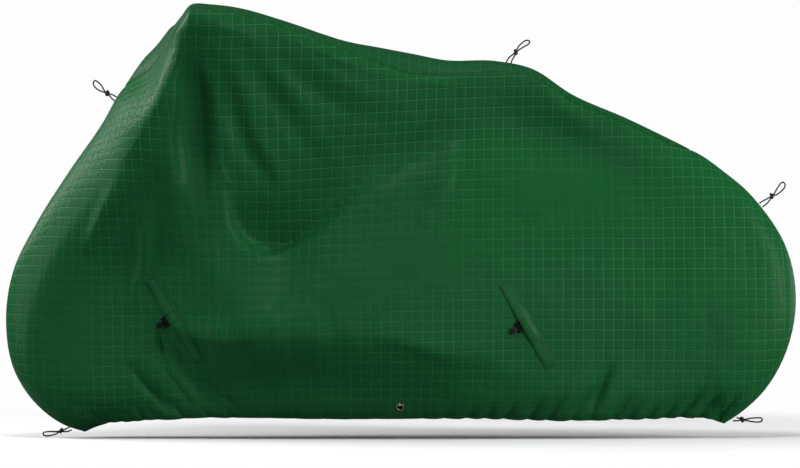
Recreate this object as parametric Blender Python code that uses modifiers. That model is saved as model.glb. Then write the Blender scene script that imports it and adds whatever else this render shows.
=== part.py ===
"""A fitted bicycle cover of coated ripstop cloth, hanging in the shape that the bicycle inside gives it.

The cover is lofted from hoops. Each hoop is a cross-section that starts on the top edge of the side panel,
runs down the side and ends at the elastic hem. The hoops fan round the front and the rear wheel, so that the
first and the last one close the cover at the two ends of the hem. Cloth pieces are 2 mm sheets that meet
edge to edge.

Metres, +Z up, +X to the bicycle's rear, -Y its left side. The origin is where the saddle carries the cloth.
"""

import bpy
import bmesh
import numpy as np
from mathutils import Matrix, Vector
from mathutils.bvhtree import BVHTree

# ---------------------------------------------------------------- driving sizes
MM = 0.001
CLOTH = 0.002  # thickness of the sheets
SEAM_GAP = 0.0003  # between two pieces that are sewn together
HEM_BAND = 0.050  # height of the strip that holds the elastic and the eyelets
HEM_LEAST, HEM_SHARE = 0.003, 0.18  # at the two ends it narrows to this and this share of the hoop's length
HEM_CURL = 0.36  # how far out the band's top edge stands, as a share of the belly over the hem

FLAP_LENGTH, FLAP_WIDTH, FLAP_THICK = 0.234, 0.029, 0.0012
FLAP_LIFT = 0.0046  # how far the tab beneath lifts the flap
LIFT_REACH, LIFT_EASE = 0.058, 0.040  # along the flap the lift ends this far from the tab, easing over this
FLAP_ACROSS = ((-0.5, 1.0), (-0.16, 1.0), (0.17, 0.85), (0.5, 0.0))  # places across it, share of the lift
FLAP_ROWS = 15
TAB_LENGTH, TAB_WIDTH, TAB_THICK = 0.026, 0.027, 0.0016
TAB_HIDDEN = 0.016  # the stretch of the tab that lies under the flap
CLIP_LENGTH, CLIP_WIDTH, CLIP_THICK = 0.017, 0.0135, 0.0045
TAB_ROUND, CLIP_ROUND = 0.0004, 0.0012  # radius of their edges
LAY_GAP = 0.0006  # between a piece and the cloth that it lies on

EYELET_HOLE, EYELET_FLANGE, EYELET_WALL = 0.012, 0.0195, 0.0007
EYELET_CROWN, EYELET_LIP = 0.0010, 0.0005  # height of the hole's edge and of the flange's edge
EYELET_ROLL, EYELET_SOFT = 0.0016, 0.0006  # how far in from those edges the rolled metal is highest
EYELET_RAISE = 0.0004  # height of the roll over the crown
EYELET_X, EYELET_Z = -0.282, -0.832
ROUND_STEPS = 16

CORD = 0.0037  # thickness of the elastic cord
CORD_RINGS = 20
KNOT_LENGTH, KNOT_WIDTH = 0.019, 0.0105
KNOT_LOBES = {"low": (-1, 1.0), "high": (1, 0.94)}  # side of the middle, and size

# ---------------------------------------------------------------- hoops
# One row for each hoop, from the front end of the hem to its rear end, in millimetres, degrees and shares.
#   seam     x, z, half-width of the side panel's top edge
#   spine    height of the centre line above that edge, and of the strip at 3/4 of its half-width
#   roll     angle at which the panel leaves its top edge: 90 goes straight out sideways, 0 straight down
#   shoulder, waist, belly    share of the way down to the hem, and half-width there
#   hem      x, z, half-width of the lower edge
HOOPS = (
    # seam              spine     roll  shoulder     waist        belly        hem
    ((-1055, -897, 0),   (0, 0),    90, (0.2, 10),    (0.36, 14),  (0.52, 16),  (-1029, -885, 16)),
    ((-1110, -877, 0),   (0, 0),    90, (0.3, 26),    (0.5, 32),   (0.75, 34),  (-1016, -882, 28)),
    ((-1178, -823, 0),   (0, 0),    90, (0.2, 46),    (0.42, 56),  (0.72, 58),  (-993, -878, 42)),
    ((-1225, -750, 0),   (0, 0),    90, (0.16, 58),   (0.4, 68),   (0.72, 72),  (-965, -875, 54)),
    ((-1247, -627, 0),   (0, 0),    90, (0.15, 66),   (0.38, 78),  (0.7, 86),   (-929, -871, 62)),
    ((-1230, -505, 0),   (0, 0),    90, (0.16, 76),   (0.4, 86),   (0.7, 92),   (-896, -867, 68)),
    ((-1171, -383, 0),   (0, 0),    90, (0.15, 94),   (0.42, 96),  (0.72, 98),  (-862, -866, 74)),
    ((-1093, -260, 0),   (0, 0),    90, (0.15, 122),  (0.46, 106), (0.74, 104), (-828, -865, 80)),
    ((-1009, -138, 0),   (0, 0),    90, (0.155, 164), (0.5, 118),  (0.76, 110), (-793, -863, 84)),
    ((-965, -61, 0),     (0, 0),    80, (0.14, 192),  (0.52, 128), (0.77, 116), (-769, -862, 86)),
    ((-890, -8, 86),     (40, 21),  64, (0.125, 226), (0.54, 136), (0.78, 122), (-750, -862, 88)),
    ((-842, 51, 178),    (39, 20),  52, (0.11, 252),  (0.55, 144), (0.78, 130), (-733, -862, 90)),
    ((-807, 102, 252),   (-3, 13),  40, (0.06, 276),  (0.54, 150), (0.78, 140), (-718, -863, 91)),
    ((-779, 129, 288),   (-26, 13), 34, (0.04, 292),  (0.53, 152), (0.78, 150), (-703, -864, 92)),
    ((-736, 128, 280),   (-30, 13), 30, (0.04, 284),  (0.54, 146), (0.78, 158), (-685, -864, 94)),
    ((-679, 122, 254),   (-28, 13), 28, (0.04, 258),  (0.55, 134), (0.77, 168), (-657, -864, 96)),
    ((-566, 91, 206),    (-15, 14), 28, (0.03, 212),  (0.54, 116), (0.76, 180), (-574, -865, 100)),
    ((-451, 51, 168),    (12, 15),  28, (0.03, 174),  (0.42, 114), (0.74, 188), (-476, -866, 104)),
    ((-347, 9, 136),     (38, 24),  30, (0.03, 143),  (0.33, 112), (0.72, 190), (-379, -866, 106)),
    ((-260, -19, 113),   (50, 33),  32, (0.03, 120),  (0.25, 108), (0.72, 186), (-282, -866, 106)),
    ((-172, -23, 99),    (37, 25),  32, (0.03, 104),  (0.19, 100), (0.72, 176), (-185, -866, 104)),
    ((-49, -15, 89),     (27, 17),  34, (0.02, 93),   (0.15, 85),  (0.7, 156),  (-76, -866, 98)),
    ((35, -25, 84),      (20, 12),  34, (0.02, 88),   (0.12, 77),  (0.68, 138), (-2, -866, 93)),
    ((140, -86, 66),     (15, 9),   38, (0.03, 72),   (0.12, 71),  (0.65, 122), (71, -867, 86)),
    ((270, -140, 54),    (12, 8),   44, (0.04, 62),   (0.15, 69),  (0.65, 106), (156, -867, 78)),
    ((395, -195, 28),    (7, 4),    64, (0.07, 54),   (0.28, 72),  (0.65, 92),  (235, -865, 68)),
    ((440, -210, 0),     (0, 0),    90, (0.07, 50),   (0.3, 72),   (0.65, 88),  (261, -865, 64)),
    ((517, -263, 0),     (0, 0),    90, (0.05, 46),   (0.3, 74),   (0.65, 84),  (309, -864, 56)),
    ((563, -301, 0),     (0, 0),    90, (0.052, 45),  (0.3, 73),   (0.65, 81),  (334, -864, 52)),
    ((605, -348, 0),     (0, 0),    90, (0.055, 44),  (0.3, 72),   (0.65, 78),  (357, -864, 48)),
    ((664, -444, 0),     (0, 0),    90, (0.06, 42),   (0.3, 70),   (0.65, 74),  (397, -864, 42)),
    ((688, -573, 0),     (0, 0),    90, (0.08, 40),   (0.35, 64),  (0.7, 64),   (428, -865, 36)),
    ((664, -701, 0),     (0, 0),    90, (0.12, 36),   (0.4, 54),   (0.7, 50),   (454, -866, 31)),
    ((608, -799, 0),     (0, 0),    90, (0.2, 28),    (0.45, 40),  (0.75, 34),  (471, -868, 25)),
    ((556, -848, 0),     (0, 0),    90, (0.26, 20),   (0.45, 25),  (0.66, 25),  (481, -869, 20)),
    ((514, -877, 0),     (0, 0),    90, (0.2, 10),    (0.36, 14),  (0.52, 16),  (488, -870, 16)),
)
GUSSET_FROM, GUSSET_TO = 9.1, 25.75  # hoop numbers between which the strip on top has a width

# Folds of the left side. Each is a trough along a curved line from start over middle to end, in x, z.
# depth is how far the cloth goes in (negative: a ridge that stands out), above and below are how far the
# trough reaches to either side of its line.
FOLDS = (
    # name                 start             middle            end               depth   above  below
    ("tongue_left", (-0.696, -0.324), (-0.656, -0.428), (-0.597, -0.449), 0.020, 0.090, 0.016),
    ("tongue_right", (-0.597, -0.449), (-0.498, -0.418), (-0.290, -0.250), 0.020, 0.085, 0.022),
    ("saddle_waist", (-0.330, -0.274), (-0.231, -0.180), (-0.122, -0.156), 0.009, 0.050, 0.040),
    ("grip_fold_1", (-0.730, -0.037), (-0.661, -0.136), (-0.602, -0.284), 0.016, 0.026, 0.030),
    ("grip_ridge_1", (-0.686, -0.027), (-0.607, -0.126), (-0.557, -0.294), -0.013, 0.026, 0.026),
    ("grip_fold_2", (-0.661, 0.013), (-0.557, -0.106), (-0.473, -0.250), 0.014, 0.026, 0.028),
    ("grip_ridge_2", (-0.617, 0.013), (-0.508, -0.076), (-0.429, -0.195), -0.010, 0.028, 0.026),
    ("grip_fold_3", (-0.557, -0.007), (-0.468, -0.076), (-0.369, -0.136), 0.010, 0.024, 0.026),
    ("grip_arris", (-0.817, 0.072), (-0.821, -0.037), (-0.909, -0.156), -0.012, 0.024, 0.026),
    ("grip_hollow", (-0.785, 0.023), (-0.770, -0.156), (-0.785, -0.393), 0.014, 0.040, 0.040),
    ("fork_ridge_1", (-0.953, -0.274), (-0.998, -0.363), (-1.042, -0.443), -0.010, 0.022, 0.022),
    ("fork_ridge_2", (-0.889, -0.354), (-0.899, -0.453), (-0.919, -0.581), -0.010, 0.024, 0.024),
    ("belly_shelf", (-0.834, -0.631), (-0.636, -0.591), (-0.330, -0.641), -0.010, 0.050, 0.060),
    ("belly_crease", (-0.854, -0.690), (-0.795, -0.759), (-0.740, -0.824), 0.010, 0.022, 0.022),
    ("front_gather", (-0.933, -0.740), (-0.894, -0.789), (-0.844, -0.829), 0.008, 0.018, 0.018),
    ("rear_gather", (0.225, -0.745), (0.195, -0.809), (0.175, -0.857), 0.009, 0.020, 0.020),
    ("seat_tube_ridge", (-0.146, -0.205), (-0.191, -0.294), (-0.216, -0.373), -0.007, 0.026, 0.026),
    ("rear_ridge", (0.329, -0.537), (0.306, -0.601), (0.299, -0.660), -0.007, 0.030, 0.030),
    ("rear_trough", (0.512, -0.344), (0.557, -0.433), (0.591, -0.512), 0.006, 0.030, 0.030),
)
FAR_SIDE_SHIFT, FAR_SIDE_DEPTH = (-0.024, 0.018), 0.85  # the right side hangs in like folds, a little apart
FOLD_FREE = 0.030  # folds fade out over this distance from the top edge
FOLD_STEPS = 32  # points along a fold's line
FOLD_SPREAD = 0.6  # standard deviation of a trough's bell shape, as a share of its reach
FOLD_END, FOLD_POWER = 0.02, 0.7  # least share along the line, and how fast the ends fade

# ---------------------------------------------------------------- what is sewn on
FLAPS = {
    # x, z of the middle; slope in degrees; where the tab comes out, along the flap from its middle
    "front": (-0.828, -0.621, -59.6, 0.008),
    "rear": (0.026, -0.631, -60.8, 0.004),
}
# Routes of the cord loops: x, y, z along the middle of the cord, from one end in the seam to the other.
LOOPS = {
    "front_top": (
        (-0.974, 0.0, -0.078), (-0.986, -0.001, -0.071), (-0.995, -0.0022, -0.068), (-1.004, -0.0022, -0.063),
        (-1.013, -0.001, -0.049), (-1.023, 0.0, -0.039), (-1.029, 0.0, -0.036), (-1.033, 0.0, -0.040),
        (-1.032, 0.0, -0.048), (-1.021, 0.0, -0.059), (-1.012, 0.001, -0.063), (-1.003, 0.0022, -0.066),
        (-0.995, 0.0022, -0.072), (-0.988, 0.001, -0.080), (-0.979, 0.0, -0.087),
    ),
    "saddle": (
        (-0.0215, 0.0, 0.007), (-0.019, -0.001, 0.014), (-0.013, -0.001, 0.022), (-0.004, -0.0022, 0.029),
        (0.002, -0.0022, 0.036), (0.008, -0.001, 0.047), (0.017, 0.0, 0.056), (0.026, 0.0, 0.062),
        (0.032, 0.0, 0.0625), (0.036, 0.0, 0.059), (0.034, 0.0, 0.055), (0.022, 0.001, 0.047),
        (0.007, 0.0022, 0.037), (0.001, 0.0022, 0.030), (-0.003, 0.001, 0.021), (-0.008, 0.001, 0.013),
        (-0.010, 0.0, 0.006),
    ),
    "rear_top": (
        (0.598, 0.0, -0.337), (0.609, -0.001, -0.330), (0.622, -0.0022, -0.323), (0.631, -0.0022, -0.317),
        (0.643, -0.001, -0.299), (0.652, 0.0, -0.287), (0.656, 0.0, -0.285), (0.661, 0.0, -0.289),
        (0.660, 0.0, -0.298), (0.651, 0.0, -0.308), (0.642, 0.001, -0.315), (0.632, 0.0022, -0.319),
        (0.626, 0.0022, -0.326), (0.619, 0.001, -0.335), (0.606, 0.0, -0.346),
    ),
    "front_hem": (
        (-1.090, 0.0, -0.884), (-1.100, -0.001, -0.889), (-1.108, -0.0022, -0.893), (-1.116, -0.0022, -0.895),
        (-1.128, -0.001, -0.896), (-1.150, 0.0, -0.897), (-1.156, 0.0, -0.899), (-1.155, 0.0, -0.904),
        (-1.149, 0.0, -0.9065), (-1.138, 0.0, -0.9055), (-1.126, 0.001, -0.902), (-1.116, 0.0022, -0.897),
        (-1.108, 0.0022, -0.896), (-1.098, 0.001, -0.896), (-1.086, 0.0, -0.892),
    ),
    "rear_hem": (
        (0.5425, 0.0, -0.861), (0.549, -0.001, -0.864), (0.555, -0.0022, -0.866), (0.562, -0.0022, -0.866),
        (0.580, -0.001, -0.863), (0.596, 0.0, -0.8625), (0.603, 0.0, -0.863), (0.6055, 0.0, -0.866),
        (0.603, 0.0, -0.871), (0.597, 0.0, -0.8725), (0.580, 0.0, -0.8715), (0.569, 0.001, -0.8695),
        (0.561, 0.0022, -0.868), (0.554, 0.0022, -0.868), (0.545, 0.001, -0.8695), (0.534, 0.0, -0.8695),
    ),
}
KNOTS = {  # x, z of the middle, and the slope of its long axis in degrees
    "front_top": (-0.999, -0.067, 66),
    "saddle": (0.0015, 0.0335, 98),
    "rear_top": (0.6285, -0.319, 100),
    "front_hem": (-1.1125, -0.894, 50),
    "rear_hem": (0.5565, -0.8665, 106),
}

# ---------------------------------------------------------------- sampling of the sheets
# Hoop numbers of the mesh rows. Two stand either side of hoop 19, so that the eyelet lies in one flat face.
EYELET_HOOP, EYELET_ROOM = 19, 0.28
SPLIT_GAPS = {
    1: 2, 2: 2, 3: 2, 4: 2, 5: 2, 6: 2, 7: 2, 14: 2, 15: 4, 16: 4, 17: 3, 20: 2, 22: 2, 23: 2, 24: 2,
    29: 2, 30: 2, 31: 2, 32: 3, 33: 2,
}
CUTS = np.array(sorted(
    [float(hoop) for hoop in range(len(HOOPS)) if hoop != EYELET_HOOP]
    + [hoop + step / parts for hoop, parts in SPLIT_GAPS.items() for step in range(1, parts)]
    + [EYELET_HOOP - EYELET_ROOM, EYELET_HOOP + EYELET_ROOM, GUSSET_FROM, GUSSET_TO]
))
WITH_GUSSET = (CUTS >= GUSSET_FROM) & (CUTS <= GUSSET_TO)
GUSSET_ROWS = (-2.0, -1.35, -0.7, 0.0)  # from the centre line to the top edge of the side panel
PANEL_ROWS = (0.0, 0.4, 1.0, 1.25, 1.5, 1.75, 2.0, 2.3, 2.65, 3.0, 3.35, 3.7, 4.0)
BAND_ROWS = (4.0, 4.68, 5.0)


def material(name, colour, roughness, metallic=0.0):
    made = bpy.data.materials.new(name)
    made.use_nodes = True
    shader = made.node_tree.nodes["Principled BSDF"]
    shader.inputs["Base Color"].default_value = (*colour, 1.0)
    shader.inputs["Roughness"].default_value = roughness
    shader.inputs["Metallic"].default_value = metallic
    return made


def finish(name, mesh, surface):
    """Puts a mesh in the scene as one named part of the cover."""
    part = bpy.data.objects.new(name, mesh)
    part.data.materials.append(surface)
    PARTS.objects.link(part)
    return part


# ---------------------------------------------------------------- the shape of the cloth
def slopes(knots, values, limited):
    """Tangents at the rows of a table. Limited ones never make a column overshoot its own numbers."""
    step = np.diff(knots)[:, None]
    rate = np.diff(values, axis=0) / step
    before, after = rate[:-1], rate[1:]
    middle = (before * step[1:] + after * step[:-1]) / (step[1:] + step[:-1])
    if limited:
        least = np.minimum(abs(before), abs(after))
        middle = np.where(before * after > 0, np.sign(middle) * np.minimum(abs(middle), 3 * least), 0.0)
    return np.concatenate([rate[:1], middle, rate[-1:]])


def cubic(low, low_slope, high, high_slope, share):
    """Point at this share of the way along a cubic with these ends and end slopes."""
    s2, s3 = share**2, share**3
    return (
        low * (2 * s3 - 3 * s2 + 1) + low_slope * (s3 - 2 * s2 + share)
        + high * (3 * s2 - 2 * s3) + high_slope * (s3 - s2)
    )


def table_at(values, at, limited):
    """Rows of a table at fractional hoop numbers, spaced by the length of the top edge between hoops."""
    values = np.array(values, float).reshape(len(HOOPS), -1)
    edge = np.array([row[0] for row in HOOPS])
    knots = np.concatenate([[0.0], np.cumsum(np.linalg.norm(np.diff(edge, axis=0), axis=1))])
    slope = slopes(knots, values, limited)
    low = np.clip(at.astype(int), 0, len(HOOPS) - 2)
    step = (knots[low + 1] - knots[low])[:, None]
    share = (at - low)[:, None]
    return cubic(values[low], slope[low] * step, values[low + 1], slope[low + 1] * step, share)


def hoops_at(at):
    """For each fractional hoop number: the top edge's x, z, the way down in x, z, and the profile's points.

    The profile's points are distance down and half-width, at the top edge, shoulder, waist, belly, top of the
    hem band and hem. The strip's points are the same for the centre line, 3/4 and the top edge.
    """
    edge = table_at([row[0][:2] for row in HOOPS], at, False) * MM
    hem = table_at([row[6][:2] for row in HOOPS], at, False) * MM
    width = table_at([(row[0][2], row[6][2]) for row in HOOPS], at, True) * MM
    rise = table_at([row[1] for row in HOOPS], at, True) * MM
    roll = np.radians(table_at([row[2] for row in HOOPS], at, True)[:, 0])
    down = hem - edge
    length = np.linalg.norm(down, axis=1)
    points = [np.stack([0 * length, width[:, 0]], axis=1)]
    for column in (3, 4, 5):
        share, half_width = table_at([row[column] for row in HOOPS], at, True).T
        points.append(np.stack([share * length, half_width * MM], axis=1))
    band = np.minimum(HEM_BAND, HEM_LEAST + HEM_SHARE * length)
    band_width = width[:, 1] + HEM_CURL * (points[-1][:, 1] - width[:, 1])
    points.append(np.stack([length - band, band_width], axis=1))
    points.append(np.stack([length, width[:, 1]], axis=1))
    strip = np.stack([
        np.stack([-rise[:, 0], 0 * length], axis=1),
        np.stack([-rise[:, 1], 0.75 * width[:, 0]], axis=1),
        np.stack([0 * length, width[:, 0]], axis=1),
    ], axis=1)
    return edge, down / length[:, None], np.stack(points, axis=1), strip, roll


def profile_points(points, start, rows):
    """Points of each hoop's profile at these row numbers, on a smooth curve that leaves along start."""
    chords = np.diff(points, axis=1)
    steps = np.sqrt(np.maximum(np.linalg.norm(chords, axis=2), 1e-6))[..., None]
    rate = chords / steps
    inner = (rate[:, :-1] * steps[:, 1:] + rate[:, 1:] * steps[:, :-1]) / (steps[:, 1:] + steps[:, :-1])
    first = start[:, None] * np.linalg.norm(rate[:, :1], axis=2)[..., None]
    slope = np.concatenate([first, inner, rate[:, -1:]], axis=1)
    found = []
    for row in rows:
        low = min(int(row), points.shape[1] - 2)
        step = steps[:, low]
        found.append(cubic(
            points[:, low], slope[:, low] * step, points[:, low + 1], slope[:, low + 1] * step, row - low
        ))
    return np.stack(found, axis=1)


def fold_depth(x, z):
    """How far the folds draw the cloth in at each x, z of the side view."""
    total = np.zeros_like(x)
    for _, start, middle, end, depth, above, below in FOLDS:
        share = np.linspace(0.0, 1.0, FOLD_STEPS + 1)[:, None]
        line = (
            np.array(start) * (1 - share) ** 2 + 2 * np.array(middle) * share * (1 - share)
            + np.array(end) * share**2
        )
        along = np.gradient(line, axis=0)
        away = np.stack([x, z], axis=-1)[..., None, :] - line
        nearest = (away**2).sum(axis=-1).argmin(axis=-1)
        offset = np.take_along_axis(away, nearest[..., None, None], axis=-2)[..., 0, :]
        turn = along[nearest, 0] * offset[..., 1] - along[nearest, 1] * offset[..., 0]
        reach = np.where(turn > 0, above, below)
        fade = np.sin(np.pi * np.clip(nearest / FOLD_STEPS, FOLD_END, 1 - FOLD_END)) ** FOLD_POWER
        total += depth * fade * np.exp(-(offset**2).sum(axis=-1) / (2 * (reach * FOLD_SPREAD) ** 2))
    return total


def outward(grid, on_centre):
    """Unit normals of a left half, hoops by rows, pointing away from the bicycle.

    on_centre marks the points where the two halves meet, and where the normal lies in the middle plane.
    """
    normals = np.cross(np.gradient(grid, axis=1), np.gradient(grid, axis=0))
    normals[on_centre, 1] = 0.0
    return normals / np.maximum(np.linalg.norm(normals, axis=-1), 1e-12)[..., None]


def half_cover(at, right):
    """Outer points and normals of one side, hoops by rows from the centre line over the strip to the hem."""
    edge, down, points, strip, roll = hoops_at(at)
    level = np.tile([0.0, 1.0], (len(at), 1))
    top = profile_points(strip, level, [row + 2 for row in GUSSET_ROWS[:-1]])
    leaving = np.stack([np.cos(roll), np.sin(roll)], axis=1)
    side = profile_points(points, leaving, PANEL_ROWS + BAND_ROWS[1:])
    flat = np.concatenate([top, side], axis=1)
    place = edge[:, None] + down[:, None] * flat[..., :1]
    grid = np.stack([place[..., 0], -flat[..., 1], place[..., 1]], axis=-1)
    on_centre = flat[..., 1] < 1e-6
    normals = outward(grid, on_centre)
    shift, strength = (FAR_SIDE_SHIFT, FAR_SIDE_DEPTH) if right else ((0.0, 0.0), 1.0)
    depth = strength * fold_depth(grid[..., 0] - shift[0], grid[..., 2] - shift[1])
    fade = np.clip(flat[..., 0] / FOLD_FREE, 0.0, 1.0)
    grid = grid - normals * (depth * fade * fade * (3 - 2 * fade))[..., None]
    normals = outward(grid, on_centre)
    mirror = (1, -1, 1) if right else (1, 1, 1)
    return grid * mirror, normals * mirror


# ---------------------------------------------------------------- cloth pieces
def closed_sheet(name, outer, inner, surface):
    """One closed solid between two grids of points, with every quad cut along its shorter diagonal."""
    rows, columns = outer.shape[:2]
    number = np.arange(rows * columns).reshape(rows, columns)
    a, b = number[:-1, :-1], number[1:, :-1]
    c, d = number[1:, 1:], number[:-1, 1:]
    flat = outer.reshape(-1, 3)
    first = np.linalg.norm(flat[a] - flat[c], axis=-1) < np.linalg.norm(flat[b] - flat[d], axis=-1)
    halves = np.where(
        first[..., None, None], np.stack([np.stack([a, b, c], -1), np.stack([a, c, d], -1)], -2),
        np.stack([np.stack([a, b, d], -1), np.stack([b, c, d], -1)], -2),
    ).reshape(-1, 3)
    rim = np.concatenate([number[:-1, 0], number[-1, :-1], number[:0:-1, -1], number[0, :0:-1]])
    after = np.roll(rim, -1)
    under = rows * columns
    sides = np.concatenate([
        np.stack([rim, rim + under, after + under], -1), np.stack([rim, after + under, after], -1)
    ])
    faces = np.concatenate([halves, halves[:, ::-1] + under, sides])
    points = np.concatenate([flat, inner.reshape(-1, 3)])
    corners = points[faces]
    volume = np.einsum("ij,ij->i", corners[:, 0], np.cross(corners[:, 1], corners[:, 2])).sum()
    if volume < 0:
        faces = faces[:, ::-1]
    mesh = bpy.data.meshes.new(name)
    mesh.from_pydata(points.tolist(), [], faces.tolist())
    mesh.shade_smooth()
    mesh.set_sharp_from_angle(angle=np.radians(40))
    return finish(name, mesh, surface)


def sewn_piece(name, grid, normals, surface):
    """A sheet whose two long edges stand half a seam's gap back from the lines where it is sewn."""
    outer = grid.copy()
    for end, neighbour in ((0, 1), (-1, -2)):
        inwards = grid[:, neighbour] - grid[:, end]
        outer[:, end] += inwards / np.linalg.norm(inwards, axis=-1)[:, None] * SEAM_GAP / 2
    return closed_sheet(name, outer, outer - normals * CLOTH, surface)


def side_pieces(side, right):
    """The side panel and the hem band of one side. Returns its grid from the centre line to the hem."""
    grid, normals = half_cover(CUTS, right)
    top, low = len(GUSSET_ROWS) - 1, len(GUSSET_ROWS) + len(PANEL_ROWS) - 2
    panel = sewn_piece(f"side_panel_{side}", grid[:, top : low + 1], normals[:, top : low + 1], CLOTH_GREEN)
    band = sewn_piece(f"hem_band_{side}", grid[:, low:], normals[:, low:], HEM_GREEN)
    return panel, band, grid, normals


def gusset(left, right):
    """The strip on top, from the left panel's edge over the centre line to the right panel's edge."""
    rows = slice(0, len(GUSSET_ROWS))
    grids = [
        np.concatenate([one[WITH_GUSSET, rows][:, ::-1], other[WITH_GUSSET, rows][:, 1:]], axis=1)
        for one, other in zip(left, right)
    ]
    return sewn_piece("spine_gusset", grids[0], grids[1], GUSSET_GREEN)


def faces_of(*objects):
    """A search tree over the faces of these objects, which carry no modifiers yet."""
    points, polygons = [], []
    for one in objects:
        start = len(points)
        points += [vertex.co.copy() for vertex in one.data.vertices]
        polygons += [[start + corner for corner in face.vertices] for face in one.data.polygons]
    return BVHTree.FromPolygons(points, polygons)


def on_cloth(tree, y_sign, x, z):
    """Where a line in from that side meets the cloth, and the face's normal there."""
    place, normal, _, _ = tree.ray_cast(Vector((x, y_sign, z)), Vector((0, -y_sign, 0)))
    return place, normal


# ---------------------------------------------------------------- straps
def strap(which, side, y_sign, tree):
    """The slanted flap, the webbing tab that comes out from under it and the clip half at the tab's end."""
    x, z, slope, tab_at = FLAPS[which]
    along = Vector((np.cos(np.radians(slope)), 0.0, np.sin(np.radians(slope))))
    across = Vector((-along.z, 0.0, along.x))
    middle = Vector((x, 0.0, z))
    up = on_cloth(tree, y_sign, x, z)[1]

    def lying(a, b):
        spot = middle + along * a + across * b
        return on_cloth(tree, y_sign, spot.x, spot.z)[0]

    under = []
    for a in np.linspace(-FLAP_LENGTH / 2, FLAP_LENGTH / 2, FLAP_ROWS):
        row = []
        for b, share in FLAP_ACROSS:
            near = np.clip((LIFT_REACH - abs(a + tab_at)) / LIFT_EASE, 0.0, 1.0)
            lift = FLAP_LIFT * share * near * near * (3 - 2 * near)
            row.append(lying(a, b * FLAP_WIDTH) + up * (LAY_GAP + lift))
        under.append(row)
    under = np.array(under)
    closed_sheet(f"strap_flap_{which}_{side}", under + np.array(up) * FLAP_THICK, under, FLAP_GREEN)

    # The tab and the clip lie flat in one plane that clears the cloth below both of them.
    tab_middle = -FLAP_WIDTH / 2 + TAB_HIDDEN - TAB_LENGTH / 2
    clip_middle = tab_middle - TAB_LENGTH / 2 - SEAM_GAP - CLIP_LENGTH / 2
    base = lying(-tab_at, tab_middle)
    flat_up = on_cloth(tree, y_sign, base.x, base.z)[1]
    ends = np.linspace(tab_middle + TAB_LENGTH / 2, clip_middle - CLIP_LENGTH / 2, 7)
    highest = max(
        (lying(a - tab_at, b) - base).dot(flat_up)
        for b in ends for a in np.linspace(-TAB_WIDTH / 2, TAB_WIDTH / 2, 5)
    )
    long_way = (across - flat_up * across.dot(flat_up)).normalized()
    wide_way = flat_up.cross(long_way)
    frame = Matrix((long_way, wide_way, flat_up)).transposed().to_4x4()
    for name, start, size, surface, round_by in (
        ("tab", tab_middle, (TAB_LENGTH, TAB_WIDTH, TAB_THICK), WEBBING, TAB_ROUND),
        ("clip", clip_middle, (CLIP_LENGTH, CLIP_WIDTH, CLIP_THICK), PLASTIC, CLIP_ROUND),
    ):
        rise = highest + LAY_GAP + size[2] / 2
        centre = base + long_way * (start - tab_middle) + flat_up * rise
        place = Matrix.Translation(centre) @ frame
        rounded_box(f"strap_{name}_{which}_{side}", place, size, round_by, surface)


def rounded_box(name, where, size, radius, surface):
    mesh = bpy.data.meshes.new(name)
    shape = bmesh.new()
    bmesh.ops.create_cube(shape, size=1.0, matrix=Matrix.Diagonal((*size, 1.0)))
    shape.to_mesh(mesh)
    shape.free()
    box = finish(name, mesh, surface)
    box.matrix_world = where
    bevel = box.modifiers.new("rounded edges", "BEVEL")
    bevel.width = radius
    bevel.segments = 2 if radius == CLIP_ROUND else 1
    return box


# ---------------------------------------------------------------- eyelets
def eyelet(side, y_sign, band, tree):
    """A two-part metal eyelet, turned round the middle of its hole, and the hole that it sits in."""
    place, normal = on_cloth(tree, y_sign, EYELET_X, EYELET_Z)
    turned = normal.to_track_quat("Z", "Y").to_matrix().to_4x4()
    where = Matrix.Translation(place - normal * CLOTH / 2) @ turned
    hole, flange = EYELET_HOLE / 2, EYELET_FLANGE / 2
    barrel, seat = hole + EYELET_WALL, CLOTH / 2 + LAY_GAP
    crown, lip = seat + EYELET_CROWN, seat + EYELET_LIP
    profile = (
        (hole, -crown), (hole, crown), (hole + EYELET_ROLL, crown + EYELET_RAISE), (flange - EYELET_SOFT, lip),
        (flange, seat), (barrel, seat), (barrel, -seat), (flange, -seat), (flange - EYELET_SOFT, -lip),
    )
    mesh = bpy.data.meshes.new(f"eyelet_{side}")
    edges = [(one, (one + 1) % len(profile)) for one in range(len(profile))]
    mesh.from_pydata([(radius, 0.0, height) for radius, height in profile], edges, [])
    ring = finish(f"eyelet_{side}", mesh, METAL)
    ring.matrix_world = where
    turn = ring.modifiers.new("turned", "SCREW")
    turn.steps = turn.render_steps = ROUND_STEPS
    turn.use_merge_vertices = False

    punch_mesh = bpy.data.meshes.new(f"punch_{side}")
    shape = bmesh.new()
    reach = barrel + SEAM_GAP
    bmesh.ops.create_cone(
        shape, cap_ends=True, segments=ROUND_STEPS, radius1=reach, radius2=reach, depth=8 * CLOTH
    )
    shape.to_mesh(punch_mesh)
    shape.free()
    punch = bpy.data.objects.new(f"punch_{side}", punch_mesh)
    punch.matrix_world = where
    punch.hide_render = True
    punch.display_type = "WIRE"
    CUTTERS.objects.link(punch)
    cut = band.modifiers.new("eyelet hole", "BOOLEAN")
    cut.operation = "DIFFERENCE"
    cut.object = punch


# ---------------------------------------------------------------- cord loops
def smooth_route(points, count):
    """Points evenly spread along a smooth curve through a cord's own points."""
    points = np.array(points)
    knots = np.concatenate([[0.0], np.cumsum(np.linalg.norm(np.diff(points, axis=0), axis=1))])
    slope = slopes(knots, points, False)
    at = np.linspace(0.0, knots[-1], count)
    low = np.clip(np.searchsorted(knots, at, side="right") - 1, 0, len(points) - 2)
    step = (knots[low + 1] - knots[low])[:, None]
    share = (at - knots[low])[:, None] / step
    return cubic(points[low], slope[low] * step, points[low + 1], slope[low + 1] * step, share)


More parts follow.
